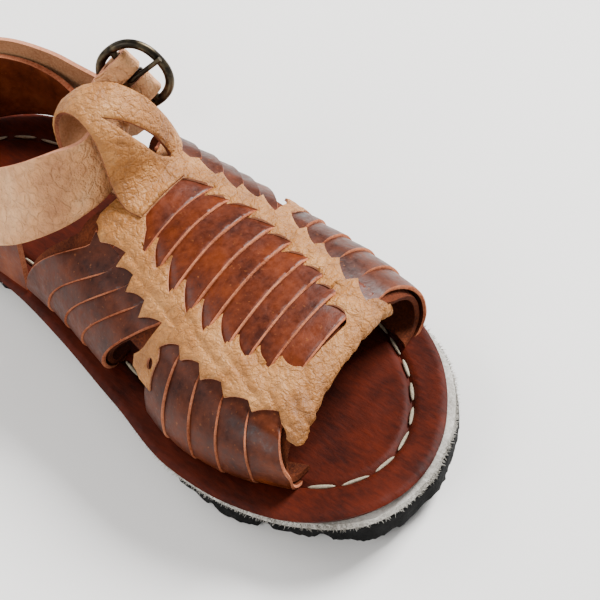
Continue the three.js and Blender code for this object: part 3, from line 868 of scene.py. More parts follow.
@dataclass(frozen=True)
class PaleFloor(Finish):
    """Matt white paper sweep: one even pale tone."""

    def dress(self, tree: bpy.types.NodeTree, shader: Any, where: Any) -> None:
        """Even off-white with no gloss.

        Args:
            tree: the material's node tree.
            shader: its surface shader.
            where: place on the object, in metres.
        """
        shader.inputs["Base Color"].default_value = linear("F4F2EF")
        shader.inputs["Roughness"].default_value = 0.9


class Finishes:
    """The finishes of the sandal, by the piece that they cover."""

    # Undyed hide, bark-tanned and drummed soft: warm tan, broken by fine furrows, with hardly a shine.
    tan = NaturalLeather("natural_leather_drummed")
    # The same hide, thicker and boarded by hand: paler, with coarse pebbles between long creases.
    strap = NaturalLeather(
        "natural_leather_pebbled", low="B0764A", body="CB8F5C", high="DBA676", pebble=2.0, ruck=4.0,
        crease=2.8, crack=0.42, relief=1.0,
    )
    # The knife leaves the hide's fibres open: a matt, pinkish line along every edge.
    tan_edge = RawLeather("natural_leather_cut_edge", low="A0664A", high="C98C6C")
    # A darker copy of the cut edge for the keeper loop's edges: painted shade along its slit and its sides.
    painted_shade_edge = RawLeather("natural_leather_torn_edge", low="5E3220", high="965C42")
    # The back of the hide, shaved and never waxed: matt, with a short nap.
    tan_flesh = RawLeather("natural_leather_flesh", low="8F6040", high="B98A64")
    # Dyed through, waxed and rubbed to a glaze: each strip shines along its crown over mottled dye.
    strip = GlazedLeather("glazed_leather_strip")
    # Cut after dyeing, so the paler core shows as a thin line between the strips.
    strip_edge = RawLeather("glazed_leather_cut_edge", low="7E3C22", high="B87454")
    # The same strips with more wax and less rubbing: deeper and browner down the sides.
    side_strip = GlazedLeather("glazed_leather_side_strip", low="2A0B02", body="431803", high="5A2406")
    # Dyed flesh side: dark and matt, so that the gaps between the strips stay quiet.
    flesh = RawLeather("brown_leather_flesh", low="2E1008", high="6A3218")
    # One thin coat of glaze on a stiff wall: an even brown with a dull shine.
    counter = GlazedLeather(
        "glazed_leather_counter", low="431B0B", body="602A12", high="783C1E", gloss=0.45,
    )
    # Thick split leather, dyed and brushed from toe to heel: red-brown, streaked and nearly matt.
    insole = RawLeather(
        "insole_leather_brushed", low="2C0902", high="4E1604", fibre=1.0, stretch=(1.0, 0.25, 1.0),
        roughness=0.6, strength=0.35,
    )
    # Wool and hair pressed into sheet: pale grey and soft-edged, with no shine at all.
    felt = RawLeather(
        "pressed_fibre_felt", low="8E8980", high="D2CEC6", fibre=0.9, roughness=0.95, strength=0.9,
    )
    # Linen twisted and drawn through wax: off-white stitches with a slight sheen.
    thread = RawLeather("waxed_linen_thread", low="7C705C", high="B8AC96", fibre=0.5, roughness=0.6)
    # Knife-cut carcass rubber: black and dull, with grey dust on what stands out.
    rubber = TyreRubber("tyre_rubber_cut")
    # Sand-cast, aged in a bath and tumbled: dark metal that catches light only along its edges.
    brass = CastBrass("brass_aged")
    # Matt paper: an even pale ground that shows the shoe's shadow.
    paper = PaleFloor("matt_paper_floor")


# ---- meshes ------------------------------------------------------------------------------

# Faces that meet at more than this meet in a crease.
CREASE_DEGREES = 50.0


def placed(name: str, data: bpy.types.ID) -> bpy.types.Object:
    """New object in the scene, at the origin.

    Args:
        name: its name.
        data: its mesh, light or camera.

    Returns:
        The object.
    """
    made = bpy.data.objects.new(name, data)
    bpy.context.scene.collection.objects.link(made)
    return made


def as_object(name: str, parts: Sequence[Mesh], finishes: Sequence[Finish]) -> bpy.types.Object:
    """Object of one or more meshes given in millimetres.

    Args:
        name: name of the object.
        parts: vertices, faces and the slot number of each face, for each mesh.
        finishes: finishes of the object's material slots.

    Returns:
        The new object, at the origin.
    """
    vertices, faces, kinds = [], [], []
    for points, corners, kind in parts:
        faces += [[i + len(vertices) for i in face] for face in corners]
        vertices += (np.asarray(points) * MM).tolist()
        kinds += kind
    mesh = bpy.data.meshes.new(name)
    mesh.from_pydata(vertices, [], faces)
    for finish in finishes:
        mesh.materials.append(finish.material())
    mesh.polygons.foreach_set("material_index", kinds)
    mesh.shade_smooth()
    mesh.set_sharp_from_angle(angle=math.radians(CREASE_DEGREES))
    mesh.update()
    return placed(name, mesh)


@dataclass
class Sheet:
    """A sheet of leather cut to an outline and laid on a surface.

    Attributes:
        outline: closed outline on the surface, anticlockwise.
        surface: the surface it lies on.
        thickness: its thickness.
        holes: closed outlines cut out of it.
        spacing: distance between its mesh points.
        lift: height of its underside above the surface, by planar place.
        relief: how far its grain side stands out or in, by place in space.
        bevel: how far its grain side is worn down along its edge.
        pared: width of the rim that is pared down to the cut leather.
        guides: closed paths that the mesh follows, such as a groove.
    """

    outline: Array
    surface: Surface
    thickness: float
    holes: Sequence[Array] = ()
    spacing: float = 0.8
    lift: Field = nothing
    relief: Field = nothing
    bevel: float = 0.3
    pared: float = 0.0
    guides: Sequence[Array] = ()

    # Distance of the rows, and of points from rims, as shares of the spacing; and from guides.
    ROW = 0.866
    RIM_CLEAR = 0.5
    PARED_CLEAR = 0.3
    PARED_LEAST = 0.9
    GUIDE_CLEAR = 0.35

    def piece(self, name: str, *finishes: Finish) -> bpy.types.Object:
        """Makes the sheet an object.

        Args:
            name: name of the object.
            finishes: finishes of its grain side, its cut edge and its flesh side.

        Returns:
            The object.
        """
        return as_object(name, [self.mesh()], finishes)

    def inner_points(self, loops: Sequence[Array]) -> Array:
        """Mesh points inside the sheet: an even triangle grid, the pared line and the guides.

        Args:
            loops: the outline and the holes.

        Returns:
            Planar points.
        """
        rim = np.vstack(loops)
        low, high = rim.min(axis=0), rim.max(axis=0)
        rows = np.arange(low[1], high[1], self.spacing * self.ROW)
        columns = np.arange(low[0], high[0], self.spacing)
        shift = self.spacing / 2
        grid = np.array([(x + i % 2 * shift, y) for i, y in enumerate(rows) for x in columns])
        grid = grid[self.covers(grid, loops)]
        for loop in loops:
            grid = grid[distance_to(grid, loop) > self.RIM_CLEAR * self.spacing]
        if self.pared:
            away = self.pared + self.PARED_CLEAR * self.spacing
            grid = np.vstack([grid[distance_to(grid, loops[0]) > away], self.pared_line(loops[0])])
        for guide in self.guides:
            clear = distance_to(grid, guide) > self.GUIDE_CLEAR
            grid = np.vstack([grid[clear], dense(guide, self.spacing)])
        return grid

    @staticmethod
    def covers(points: Array, loops: Sequence[Array]) -> Array:
        """Which planar points lie on the leather.

        Args:
            points: places to test.
            loops: the outline and the holes.

        Returns:
            True for each point inside the outline and outside every hole.
        """
        keep = inside(points, loops[0])
        for hole in loops[1:]:
            keep &= ~inside(points, hole)
        return keep

    def mesh(self) -> Mesh:
        """Builds the sheet as one closed mesh.

        Returns:
            Vertices, faces, and for each face 0 for grain, 1 for cut edge and 2 for flesh.
        """
        loops = [dense(np.asarray(loop, float), self.spacing) for loop in (self.outline, *self.holes)]
        rim = np.vstack(loops)
        flat = np.vstack([rim, self.inner_points(loops)])
        edges, start = [], 0
        for loop in loops:
            count = len(loop)
            edges += [(start + i, start + (i + 1) % count) for i in range(count)]
            start += count
        out = delaunay_2d_cdt([Vector(p) for p in flat], edges, [], 1, 1e-6)
        flat = np.array([tuple(v) for v in out[0]])
        source = {old: new for new, olds in enumerate(out[3]) for old in olds}
        triangles = np.array(out[2])
        a, b, c = flat[triangles[:, 0]], flat[triangles[:, 1]], flat[triangles[:, 2]]
        turn = (b - a)[:, 0] * (c - a)[:, 1] - (b - a)[:, 1] * (c - a)[:, 0]
        triangles[turn < 0] = triangles[turn < 0][:, ::-1]
        triangles = triangles[self.covers((a + b + c) / 3, loops) & (np.abs(turn) > 1e-9)]
        return self.shell(flat, triangles, np.unique([source[i] for i in range(len(rim))]))

    def pared_line(self, rim: Array) -> Array:
        """Line of points a pared width inside a rim.

        Args:
            rim: the rim, anticlockwise.

        Returns:
            Planar points, without those that a tight corner would crowd.
        """
        ahead = unit(np.roll(rim, -1, axis=0) - np.roll(rim, 1, axis=0))
        inner = rim + self.pared * np.stack([-ahead[:, 1], ahead[:, 0]], axis=1)
        return inner[distance_to(inner, rim) > self.PARED_LEAST * self.pared]

    def shell(self, flat: Array, triangles: Array, rim: Array) -> Mesh:
        """Gives the flat mesh its place and thickness.

        Args:
            flat: planar points.
            triangles: their triangles, anticlockwise.
            rim: numbers of the points on the edges.

        Returns:
            Vertices, faces and face kinds.
        """
        used = np.unique(triangles)
        renumber = np.full(len(flat), -1)
        renumber[used] = np.arange(len(used))
        flat, triangles = flat[used], renumber[triangles]
        worn = np.zeros(len(flat))
        worn[renumber[rim[np.isin(rim, used)]]] = self.bevel
        base = self.surface.at(flat)
        out = self.surface.normals(flat)
        lift = self.lift(flat)
        height = lift + self.thickness - worn + self.relief(base) * (worn == 0)
        grain = base + out * height[:, None]
        flesh = base + out * lift[:, None]
        count = len(flat)
        faces = [tuple(t) for t in triangles.tolist()]
        sides = dict.fromkeys(edge for p, q, r in faces for edge in ((p, q), (q, r), (r, p)))
        walls = [(p + count, q + count, q, p) for p, q in sides if (q, p) not in sides]
        faces += [(r + count, q + count, p + count) for p, q, r in faces]
        faces += walls
        edge_faces = (worn[triangles] > 0).any(axis=1) & (self.pared > 0)
        kinds = edge_faces.astype(int).tolist() + [2] * len(triangles) + [1] * len(walls)
        return np.vstack([grain, flesh]), faces, kinds


def evaluated(made: bpy.types.Object) -> bpy.types.Mesh:
    """Plain mesh of an object with its modifiers' result, which are then removed.

    Args:
        made: the object.

    Returns:
        The mesh.
    """
    graph = bpy.context.evaluated_depsgraph_get()
    plain = bpy.data.meshes.new_from_object(made.evaluated_get(graph))
    made.modifiers.clear()
    return plain


def settle(piece: bpy.types.Object, body: str, slot: str, *nodes: str) -> None:
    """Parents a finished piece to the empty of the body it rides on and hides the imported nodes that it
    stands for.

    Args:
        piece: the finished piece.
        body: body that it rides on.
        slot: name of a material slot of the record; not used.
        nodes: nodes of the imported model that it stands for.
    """
    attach(piece, body)
    if nodes:
        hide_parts(*nodes)
    LOG.info("%s: %d faces on %s", piece.name, len(piece.data.polygons), body)


# ---- the woven vamp ----------------------------------------------------------------------


@dataclass(frozen=True)
class Crossing:
    """One strip boundary of the centre field and the tan leaves that end on it.

    Attributes:
        crown: length of the boundary at the crown.
        medial_tip: girth of the medial leaf's tip on this boundary.
        medial_slit: girth where the medial slit in front of that leaf ends.
        lateral_tip: girth of the lateral leaf's tip.
        lateral_slit: girth where the lateral slit in front of that leaf ends.
    """

    crown: float
    medial_tip: float
    medial_slit: float
    lateral_tip: float
    lateral_slit: float


@dataclass(frozen=True)
class Edge:
    """Boundary of a side strip.

    Attributes:
        spine: its length at the tan spine.
        foot: its length at the vamp's foot.
    """

    spine: float
    foot: float


class Side(Enum):
    """Side of the shoe, as the sign of its girth."""

    MEDIAL = -1
    LATERAL = 1


@dataclass
class Vamp:
    """The upper's front: tan top sheet, three fields of woven strips and the lining behind them."""

    tan_thickness: float = 1.0
    strip_thickness: float = 1.0
    tan_clear: float = 1.0
    lining_thickness: float = 1.5
    # How far each strip reaches back under the one behind it.
    overlap: float = 1.0
    rear_edges: dict[Side, tuple[Edge, ...]] = field(default_factory=lambda: {
        Side.MEDIAL: (
            Edge(3.5, 27.0), Edge(-5.0, 17.5), Edge(-10.6, 10.0), Edge(-17.0, 2.8), Edge(-23.6, -6.0),
        ),
        Side.LATERAL: (
            Edge(5.5, 27.0), Edge(-2.5, 20.5), Edge(-9.6, 13.5), Edge(-16.2, 6.5), Edge(-21.6, 0.4),
            Edge(-27.4, -6.0),
        ),
    })
    front_edges: dict[Side, tuple[Edge, ...]] = field(default_factory=lambda: {
        Side.MEDIAL: (
            Edge(-25.2, -25.0), Edge(-31.8, -32.5), Edge(-38.6, -41.5), Edge(-46.0, -49.5),
            Edge(-53.2, -57.7), Edge(-61.5, -66.6),
        ),
        Side.LATERAL: (
            Edge(-29.4, -25.0), Edge(-36.2, -32.5), Edge(-42.6, -41.5), Edge(-48.6, -49.5),
            Edge(-55.8, -57.7), Edge(-62.5, -66.6),
        ),
    })
    crossings: tuple[Crossing, ...] = (
        Crossing(-10.9, -0.125, -0.265, 0.168, 0.258),
        Crossing(-16.5, -0.14, -0.314, 0.224, 0.318),
        Crossing(-23.0, -0.184, -0.321, 0.234, 0.294),
        Crossing(-29.8, -0.192, -0.325, 0.232, 0.273),
        Crossing(-36.0, -0.192, -0.292, 0.189, 0.255),
        Crossing(-42.2, -0.205, -0.269, 0.202, 0.225),
        Crossing(-47.8, -0.18, -0.22, 0.162, 0.19),
        Crossing(-53.2, -0.145, -0.14, 0.106, 0.141),
    )
    centre_rear: float = -3.4
    centre_front: float = -59.2
    # Lengths between which the tan sheet's leaves are tilted.
    woven: tuple[float, float] = (-9.0, -60.0)
    # How far the centre strips' boundaries run back or forward over one girth.
    rakes: tuple[float, float] = (2.0, 5.5)
    # Girth at which each side's strips start, and at which they come free of the tan sheet.
    heads: dict[Side, tuple[float, float]] = field(default_factory=lambda: {
        Side.MEDIAL: (0.34, 0.46), Side.LATERAL: (0.25, 0.38),
    })
    # Girth, length of the window's rear and front edges, and of the throat.
    window_rear: tuple = (
        (-0.235, -9.4), (-0.155, -7.4), (-0.1, -5.0), (0.04, -5.4), (0.18, -5.4), (0.23, -8.6),
        (0.264, -12.4),
    )
    window_front: tuple = (
        (0.141, -58.8), (0.106, -60.6), (0.047, -60.3), (-0.014, -59.5), (-0.1, -58.9), (-0.14, -57.6),
    )
    throat: tuple = ((0.3, 6.4), (0.18, 4.0), (0.0, 2.0), (-0.18, 4.0), (-0.26, 5.0))
    # Punched hole of the tabs: its girth, its length on each side and its half size.
    punch_girth: float = 0.655
    punch_length: dict[Side, float] = field(default_factory=lambda: {
        Side.MEDIAL: -24.9, Side.LATERAL: -27.0,
    })
    punch_half: tuple[float, float] = (1.5, 1.0)
    # Outer margins of the tan sheet, as pairs of an outer tip and the inner notch that follows it.
    margins: dict[Side, tuple] = field(default_factory=lambda: {
        Side.MEDIAL: (
            ((0.31, 4.9), (0.35, 3.2)), ((0.37, 1.5), (0.315, -6.0)), ((0.405, -5.4), (0.372, -10.6)),
            ((0.465, -10.8), (0.424, -16.6)), ((0.515, -17.0), (0.441, -23.8)),
            ((0.561, -22.2), (0.69, -19.2)),
            ((0.76, -19.6), (0.79, -22.5)), ((0.79, -27.0), (0.60, -27.0)), ((0.54, -25.9), (0.453, -30.8)),
            ((0.505, -32.8), (0.445, -37.6)), ((0.508, -39.7), (0.446, -44.6)),
            ((0.507, -46.9), (0.435, -52.3)),
            ((0.481, -54.3), (0.384, -59.6)), ((0.45, -61.6), (0.54, -64.2)), ((0.57, -65.8), (0.47, -69.0)),
        ),
        Side.LATERAL: (
            ((0.40, 7.4), (0.34, -1.4)), ((0.39, -2.6), (0.35, -9.4)), ((0.41, -9.6), (0.355, -16.2)),
            ((0.43, -15.4), (0.395, -21.4)), ((0.461, -21.2), (0.393, -27.4)), ((0.53, -26.4), (0.68, -22.4)),
            ((0.76, -22.0), (0.79, -24.5)), ((0.79, -29.0), (0.60, -30.0)), ((0.48, -29.8), (0.386, -35.7)),
            ((0.437, -36.4), (0.35, -41.6)), ((0.406, -43.0), (0.343, -47.4)),
            ((0.383, -48.6), (0.287, -53.8)),
            ((0.348, -55.6), (0.268, -60.6)), ((0.33, -62.2), (0.38, -64.4)), ((0.41, -66.2), (0.36, -68.0)),
            ((0.26, -67.0), (0.2, -68.6)),
        ),
    })
    # Drawn creases of the tan sheet: girth and length of both ends, depth and half width.
    creases: tuple[tuple[float, ...], ...] = (
        (-0.36, -10, -0.40, -27, 0.3, 0.7), (-0.33, -27, -0.41, -45, 0.35, 0.8),
        (-0.30, -40, -0.43, -58, 0.35, 0.8),
        (-0.24, -49, -0.44, -63, 0.4, 0.9), (-0.20, -56, -0.36, -66, 0.4, 0.9),
        (-0.12, -59, -0.26, -66, 0.4, 0.8),
        (-0.02, -60, -0.16, -66, 0.35, 0.7), (0.08, -61, -0.03, -66, 0.3, 0.7),
        (0.15, -59.5, 0.1, -66, 0.55, 0.8),
        (0.2, -57, 0.3, -65, 0.3, 0.8), (-0.29, -3, -0.33, -12, 0.3, 0.8), (0.3, -22, 0.31, -36, 0.2, 0.8),
    )

    def centre_line(self, crown: float, girth: Array | float) -> Array:
        """Length of a strip boundary of the centre field at a girth.

        Args:
            crown: its length at the crown.
            girth: where to read it.

        Returns:
            The length at each girth: the lateral side runs forward, the medial side back.
        """
        girth = np.asarray(girth, float)
        return crown - np.where(girth < 0, *self.rakes) * girth

    def side_line(self, edge: Edge, girth: Array | float) -> Array:
        """Length of a side strip's boundary, which swings round between spine and foot.

        Args:
            edge: the boundary.
            girth: where to read it, on either side.

        Returns:
            The length at each girth.
        """
        reach = np.abs(girth)
        share = smooth(0.2, 1.0, reach) * 0.6 + np.clip((reach - 0.43) / 0.57, 0, 1) * 0.4
        return mix(edge.spine, edge.foot, np.clip((share - 0.12) / 0.88, 0, 1))

    # -- the tan top sheet --

    @staticmethod
    def arcs(points: Sequence[tuple[float, float]], bow: float, count: int) -> Outline:
        """Runs arcs through places on the vamp.

        Args:
            points: girth and length of each.
            bow: how far each arc stands off.
            count: number of points on each arc.

        Returns:
            Planar points, with the last place left out.
        """
        spots = [(girth * GIRTH, length) for girth, length in points]
        return [spot for a, b in zip(spots, spots[1:]) for spot in bowed(a, b, bow, count)]

    def centre_window(self) -> Array:
        """Outline of the window that the centre strips show in, toothed by the leaves.

        Returns:
            The closed outline, anticlockwise.
        """
        points = self.arcs(self.window_rear, 0.08, 4)
        slit = self.window_rear[-1]
        for crossing, after in zip(self.crossings, (*self.crossings[1:], None)):
            girth = crossing.lateral_tip
            tip = (girth, float(self.centre_line(crossing.crown, girth)) - 0.3)
            points += self.arcs((slit, tip), -0.12, 4)
            girth = crossing.lateral_slit
            slit = (girth, float(self.centre_line(after.crown, girth))) if after else self.window_front[0]
            points += self.arcs((tip, slit), 0.7, 6)
        points += self.arcs(self.window_front, 0.15, 4)
        slit = self.window_front[-1]
        for crossing, before in zip(self.crossings[::-1], (*self.crossings[-2::-1], None)):
            girth = crossing.medial_tip
            tip = (girth, float(self.centre_line(crossing.crown, girth)) - 0.4)
            points += self.arcs((slit, tip), 0.7, 6)
            slit = self.window_rear[0]
            if before:
                girth = before.medial_slit
                slit = (girth, float(self.centre_line(crossing.crown, girth)) + 0.9)
            points += self.arcs((tip, slit), -0.3, 4)
        return np.array(points)[::-1]

    def margin(self, side: Side) -> Outline:
        """Outer margin of the tan sheet on one side, from the throat to the toe.

        Args:
            side: which side.

        Returns:
            Planar points round the leaves and the punched tab.
        """
        points: Outline = []
        for tip, notch in self.margins[side]:
            points += self.arcs((tip, notch), -0.5, 5)
            points.append((notch[0] * GIRTH, notch[1]))
        return [(side.value * across, length) for across, length in points]

    def tan_outline(self) -> Array:
        """Closed outline of the tan sheet, anticlockwise."""
        throat = [(girth * GIRTH, length) for girth, length in self.throat]
        return np.array(self.margin(Side.LATERAL)[::-1] + throat + self.margin(Side.MEDIAL))

    def tan_lift(self, points: Array) -> Array:
        """Height of the tan sheet's underside: each leaf rises over the strip in front of it.

        Args:
            points: planar places.

        Returns:
            The height at each.
        """
        girth, length = points[:, 0] / GIRTH, points[:, 1]
        # A leaf reaches out to about this girth; beyond it the sheet is level.
        reach = np.where(girth < 0, 0.24, 0.235)
        leaf = 1 - smooth(reach - 0.03, reach + 0.07, np.abs(girth))
        # It starts down on the vamp just behind its boundary and rides up over the next strip.
        lines = np.array([self.centre_line(crossing.crown, girth) for crossing in self.crossings])
        behind = lines - length
        behind = np.where(behind < -1.6, np.inf, behind).min(axis=0)
        tilt = smooth(-1.2, 3.4, behind)
        woven = (length < self.woven[0]) & (length > self.woven[1])
        lift = np.where(woven, mix(self.tan_clear, 0.1 + 0.98 * tilt, leaf), self.tan_clear)
        for start_girth, start, end_girth, end, depth, half in self.creases:
            line = np.array([(start_girth * GIRTH, start), (end_girth * GIRTH, end)])
            lift = lift - depth * np.exp(-((distance_to(points, line) / half) ** 2))
        return lift

    def tan_sheet(self) -> bpy.types.Object:
        """The tan top sheet, with its window, leaves, tabs and rolled toe edge.

        Returns:
            The piece.
        """
        punched = [
            oval((side.value * self.punch_girth * GIRTH, self.punch_length[side]), self.punch_half, 18)
            for side in Side
        ]
        puckers = uneven((0.22, 5.0, 3.1, (0.8, 1.4, 1.0)), (0.24, 1.5, 8.3, (0.8, 2.4, 1.0)))
        sheet = Sheet(
            self.tan_outline(), VAMP_FACE, self.tan_thickness, holes=(self.centre_window(), *punched),
            spacing=0.62, lift=self.tan_lift, relief=puckers, bevel=0.28,
        )
        return sheet.piece("vamp_top_sheet", Finishes.tan, Finishes.tan_edge, Finishes.tan_flesh)

    # -- the strips --

    def centre_strip(self, number: int) -> Mesh:
        """One strip of the centre field.

        Args:
            number: 0 at the throat, 8 at the toe.

        Returns:
            Its mesh.
        """
        crowns = [self.centre_rear, *(c.crown for c in self.crossings), self.centre_front]
        rear, front = crowns[number] + self.overlap, crowns[number + 1] - 0.1
        girths = np.linspace(-0.36, 0.36, 30)
        back = [(g * GIRTH, float(self.centre_line(rear, g))) for g in girths]
        fore = [(g * GIRTH, float(self.centre_line(front, g))) for g in girths]
        before = self.crossings[max(number - 1, 0)]
        step = 0.95 if number else 0.3

        def lift(points: Array) -> Array:
            """Height over the vamp: level under the leaves, tilted up to the front between them.

            Args:
                points: planar places.

            Returns:
                The height at each.
            """
            girth, length = points[:, 0] / GIRTH, points[:, 1]
            behind, ahead = self.centre_line(rear, girth), self.centre_line(front, girth)
            across = np.clip((behind - length) / (behind - ahead), 0, 1)
            medial = (girth - mix(before.medial_tip, before.medial_slit, across)) * GIRTH
            lateral = (mix(before.lateral_tip, before.lateral_slit, across) - girth) * GIRTH
            free = smooth(-1.4, 2.2, medial) * smooth(-1.4, 2.2, lateral)
            return 0.03 + (0.06 + step * across**1.7 + 0.12 * np.sin(math.pi * across)) * free

        return Sheet(
            np.array(fore + back[::-1]), VAMP_FACE, self.strip_thickness, spacing=0.75, lift=lift,
            relief=uneven((0.09, 3.2, 20.0 + number), (0.05, 1.2, 40.0)), bevel=0.4, pared=0.4,
        ).mesh()

    def side_strip(self, side: Side, rear: Edge, front: Edge, number: int) -> Mesh:
        """One strip down the side of the vamp and under its foot.

        Args:
            side: which side.
            rear: its boundary nearer the heel.
            front: its boundary nearer the toe.
            number: its number, which sets how it is worn.

        Returns:
            Its mesh.
        """
        start, head = self.heads[side]
        girths = np.linspace(start, 1.36, 38)
        fore = [(side.value * g * GIRTH, float(self.side_line(front, g))) for g in girths]
        back = [
            (side.value * g * GIRTH, float(self.side_line(rear, g)) + self.overlap) for g in girths
        ]

        def lift(points: Array) -> Array:
            """Height over the vamp: level under the tan sheet, tilted up to the front below it.

            Args:
                points: planar places.

            Returns:
                The height at each.
            """
            girth, length = np.abs(points[:, 0]) / GIRTH, points[:, 1]
            behind, ahead = self.side_line(rear, girth) + self.overlap, self.side_line(front, girth)
            across = np.clip((behind - length) / (behind - ahead), 0, 1)
            free = smooth(head, head + 0.1, girth) * (1 - 0.45 * smooth(0.75, 1.1, girth))
            return 0.03 + (0.05 + 0.8 * across**1.7 + 0.14 * np.sin(math.pi * across)) * free

        return Sheet(
            facing(np.array(fore + back[::-1])), VAMP_FACE, self.strip_thickness, spacing=0.8, lift=lift,
            relief=uneven((0.07, 4.0, 60.0 + number), (0.03, 1.3, 90.0)), bevel=0.35, pared=0.25,
        ).mesh()

    def strips(self) -> list[bpy.types.Object]:
        """The strips, as one piece for the centre and one for each group down the sides.

        Returns:
            The pieces.
        """
        centre = [self.centre_strip(i) for i in range(len(self.crossings) + 1)]
        made = [as_object(
            "vamp_centre_strips", centre, (Finishes.strip, Finishes.strip_edge, Finishes.flesh),
        )]
        for side in Side:
            for label, edges in (("rear", self.rear_edges[side]), ("front", self.front_edges[side])):
                name = f"vamp_{side.name.lower()}_{label}_strips"
                parts = [self.side_strip(side, a, b, i) for i, (a, b) in enumerate(zip(edges, edges[1:]))]
                finishes = (Finishes.side_strip, Finishes.strip_edge, Finishes.flesh)
                made.append(as_object(name, parts, finishes))
        return made

    # -- the lining --

    def throat_line(self, girth: float) -> float:
        """Length of the lining's rear edge.

        Args:
            girth: where to read it, from the crown.

        Returns:
            The length there.
        """
        if girth < 0.43:
            return float(mix(1.8, 9.0, smooth(0, 0.43, girth)))
        return float(self.side_line(Edge(9.0, 28.0), girth))

    def lining(self) -> bpy.types.Object:
        """The brown lining, turned in at the foot and open at the side notches.

        Returns:
            The piece.
        """
        girths = np.linspace(0.0, 1.48, 40)
        notch = np.linspace(0.68, 1.48, 20)
        points = []
        for side in (Side.LATERAL, Side.MEDIAL):
            rear, front, sign = self.rear_edges[side][-1], self.front_edges[side][0], side.value
            half = [(sign * g, self.throat_line(g)) for g in girths]
            half += [(sign * g, float(self.side_line(rear, g))) for g in notch[::-1]]
            half += [(sign * g, float(self.side_line(front, g))) for g in notch]
            half += [(sign * g, float(VAMP_FACE.OPENING.read(sign * g))) for g in girths[::-1]]
            points += half if side is Side.LATERAL else half[::-1][1:-1]
        outline = facing(np.array([(g * GIRTH, length) for g, length in points]))
        sheet = Sheet(outline, VAMP_FACE, self.lining_thickness, spacing=1.6, lift=level(-1.55), bevel=0.2)
        return sheet.piece("vamp_lining", *[Finishes.flesh] * 3)

    def build(self) -> None:
        """Builds and hands over every piece of the vamp."""
        settle(self.tan_sheet(), SHOE, "tan_leather", "upper")
        for piece in self.strips():
            settle(piece, SHOE, "brown_leather")
        settle(self.lining(), SHOE, "brown_leather")


# ---- keeper loop, counter and strap ------------------------------------------------------


@dataclass
class GridSurface(Surface):
    """Surface between two edge curves, with a crown between them.

    Attributes:
        left: the edge at planar x = 0.
        right: the edge at planar x = width.
        crown: how far the middle stands off, by share of the length.
        width: planar width.
        length: planar length.
    """

    left: Spline
    right: Spline
    crown: Table
    width: float
    length: float

    SHARE_STEP = 0.004

    def at(self, points: Array) -> Array:
        """Places between the two edges.

        Args:
            points: planar places.

        Returns:
            Points in millimetres.
        """
        across, along = (points[:, 0] / self.width)[:, None], points[:, 1] / self.length
        left, right = self.left.read(along), self.right.read(along)
        ahead = self.middle(along + self.SHARE_STEP) - self.middle(along - self.SHARE_STEP)
        out = unit(np.cross(right - left, ahead))
        crown = self.crown.read(along)[:, None] * 4 * across * (1 - across)
        return mix(left, right, across) + out * crown

    def middle(self, share: Array) -> Array:
        """Middle line of the surface."""
        return (self.left.read(share) + self.right.read(share)) / 2


@dataclass
class KeeperLoop:
    """The tongue, folded back over itself into a loop, with a lens-shaped slit in its front."""

    thickness: float = 1.5
    width: float = 22.0
    length: float = 98.0
    # Both edges' places and the crown between them, from the root on the apron to the tail.
    rows: tuple[tuple[float, ...], ...] = (
        (-6.5, -6.4, 45.9, 10.0, -3.8, 45.9, 0.8), (-7.6, -2.4, 46.9, 13.2, 0.9, 46.2, 1.4),
        (-7.1, 2.2, 52.0, 16.2, 3.8, 47.5, 2.6),
        (-7.2, 3.2, 60.0, 14.4, 3.6, 55.0, 2.4), (-7.1, 5.4, 65.4, 12.0, 4.6, 61.6, 2.0),
        (-7.0, 9.6, 68.4, 9.6, 6.6, 66.4, 1.8), (-7.0, 14.4, 68.0, 5.6, 10.6, 70.2, 1.6),
        (-7.2, 18.6, 64.4, 0.6, 16.4, 69.4, 1.2), (-7.5, 20.4, 58.0, 0.6, 20.6, 62.0, 1.0),
        (-7.5, 19.4, 51.6, 2.0, 20.4, 54.0, 1.0), (-6.6, 15.0, 47.2, 3.6, 16.8, 48.4, 0.6),
        (-5.6, 8.0, 45.6, 6.0, 9.2, 45.8, 0.2), (-5.0, 0.2, 44.6, 8.0, 1.4, 43.8, -0.4),
    )
    # Share of the width and of the length at both ends of the slit, and its lips' bows.
    slit_top: tuple[float, float] = (0.24, 0.39)
    slit_low: tuple[float, float] = (0.76, 0.14)
    slit_open: float = 3.6
    slit_sag: float = 0.6

    def surface(self) -> GridSurface:
        """The loop's middle surface.

        Returns:
            The surface.
        """
        rows = np.array(self.rows)
        crown = Table(*zip(np.linspace(0, 1, len(rows)), rows[:, 6]))
        return GridSurface(Spline(rows[:, 0:3]), Spline(rows[:, 3:6]), crown, self.width, self.length)

    def slit(self) -> Array:
        """The slit in the loop's front.

        Returns:
            Its closed outline, anticlockwise.
        """
        top = (self.slit_top[0] * self.width, self.slit_top[1] * self.length)
        low = (self.slit_low[0] * self.width, self.slit_low[1] * self.length)
        points = bowed(top, low, -self.slit_sag, 14) + bowed(low, top, -self.slit_open, 18)
        return facing(np.array(points))

    def build(self) -> None:
        """Builds and hands over the loop."""
        outline = np.array([(0, 0), (self.width, 0), (self.width, self.length), (0, self.length)])
        sheet = Sheet(
            outline, self.surface(), self.thickness, holes=(self.slit(),), spacing=0.8,
            lift=level(-self.thickness / 2), relief=uneven((0.2, 4.5, 12.0), (0.12, 1.6, 5.0)), bevel=0.4,
        )
        # The loop's edges, the slit's included, take the darker edge finish: painted shade along them.
        piece = sheet.piece("keeper_loop", Finishes.tan, Finishes.painted_shade_edge, Finishes.tan_flesh)
        settle(piece, SHOE, "tan_leather")


# Share of the way round the heel, height of the wall, how far it stands inside the sole's edge.
COUNTER = Table(
    (0.00, 40.0, 2.6), (0.25, 42.0, 2.4), (0.52, 44.0, 2.2), (0.75, 36.0, 2.2), (1.00, 24.0, 2.2),
)


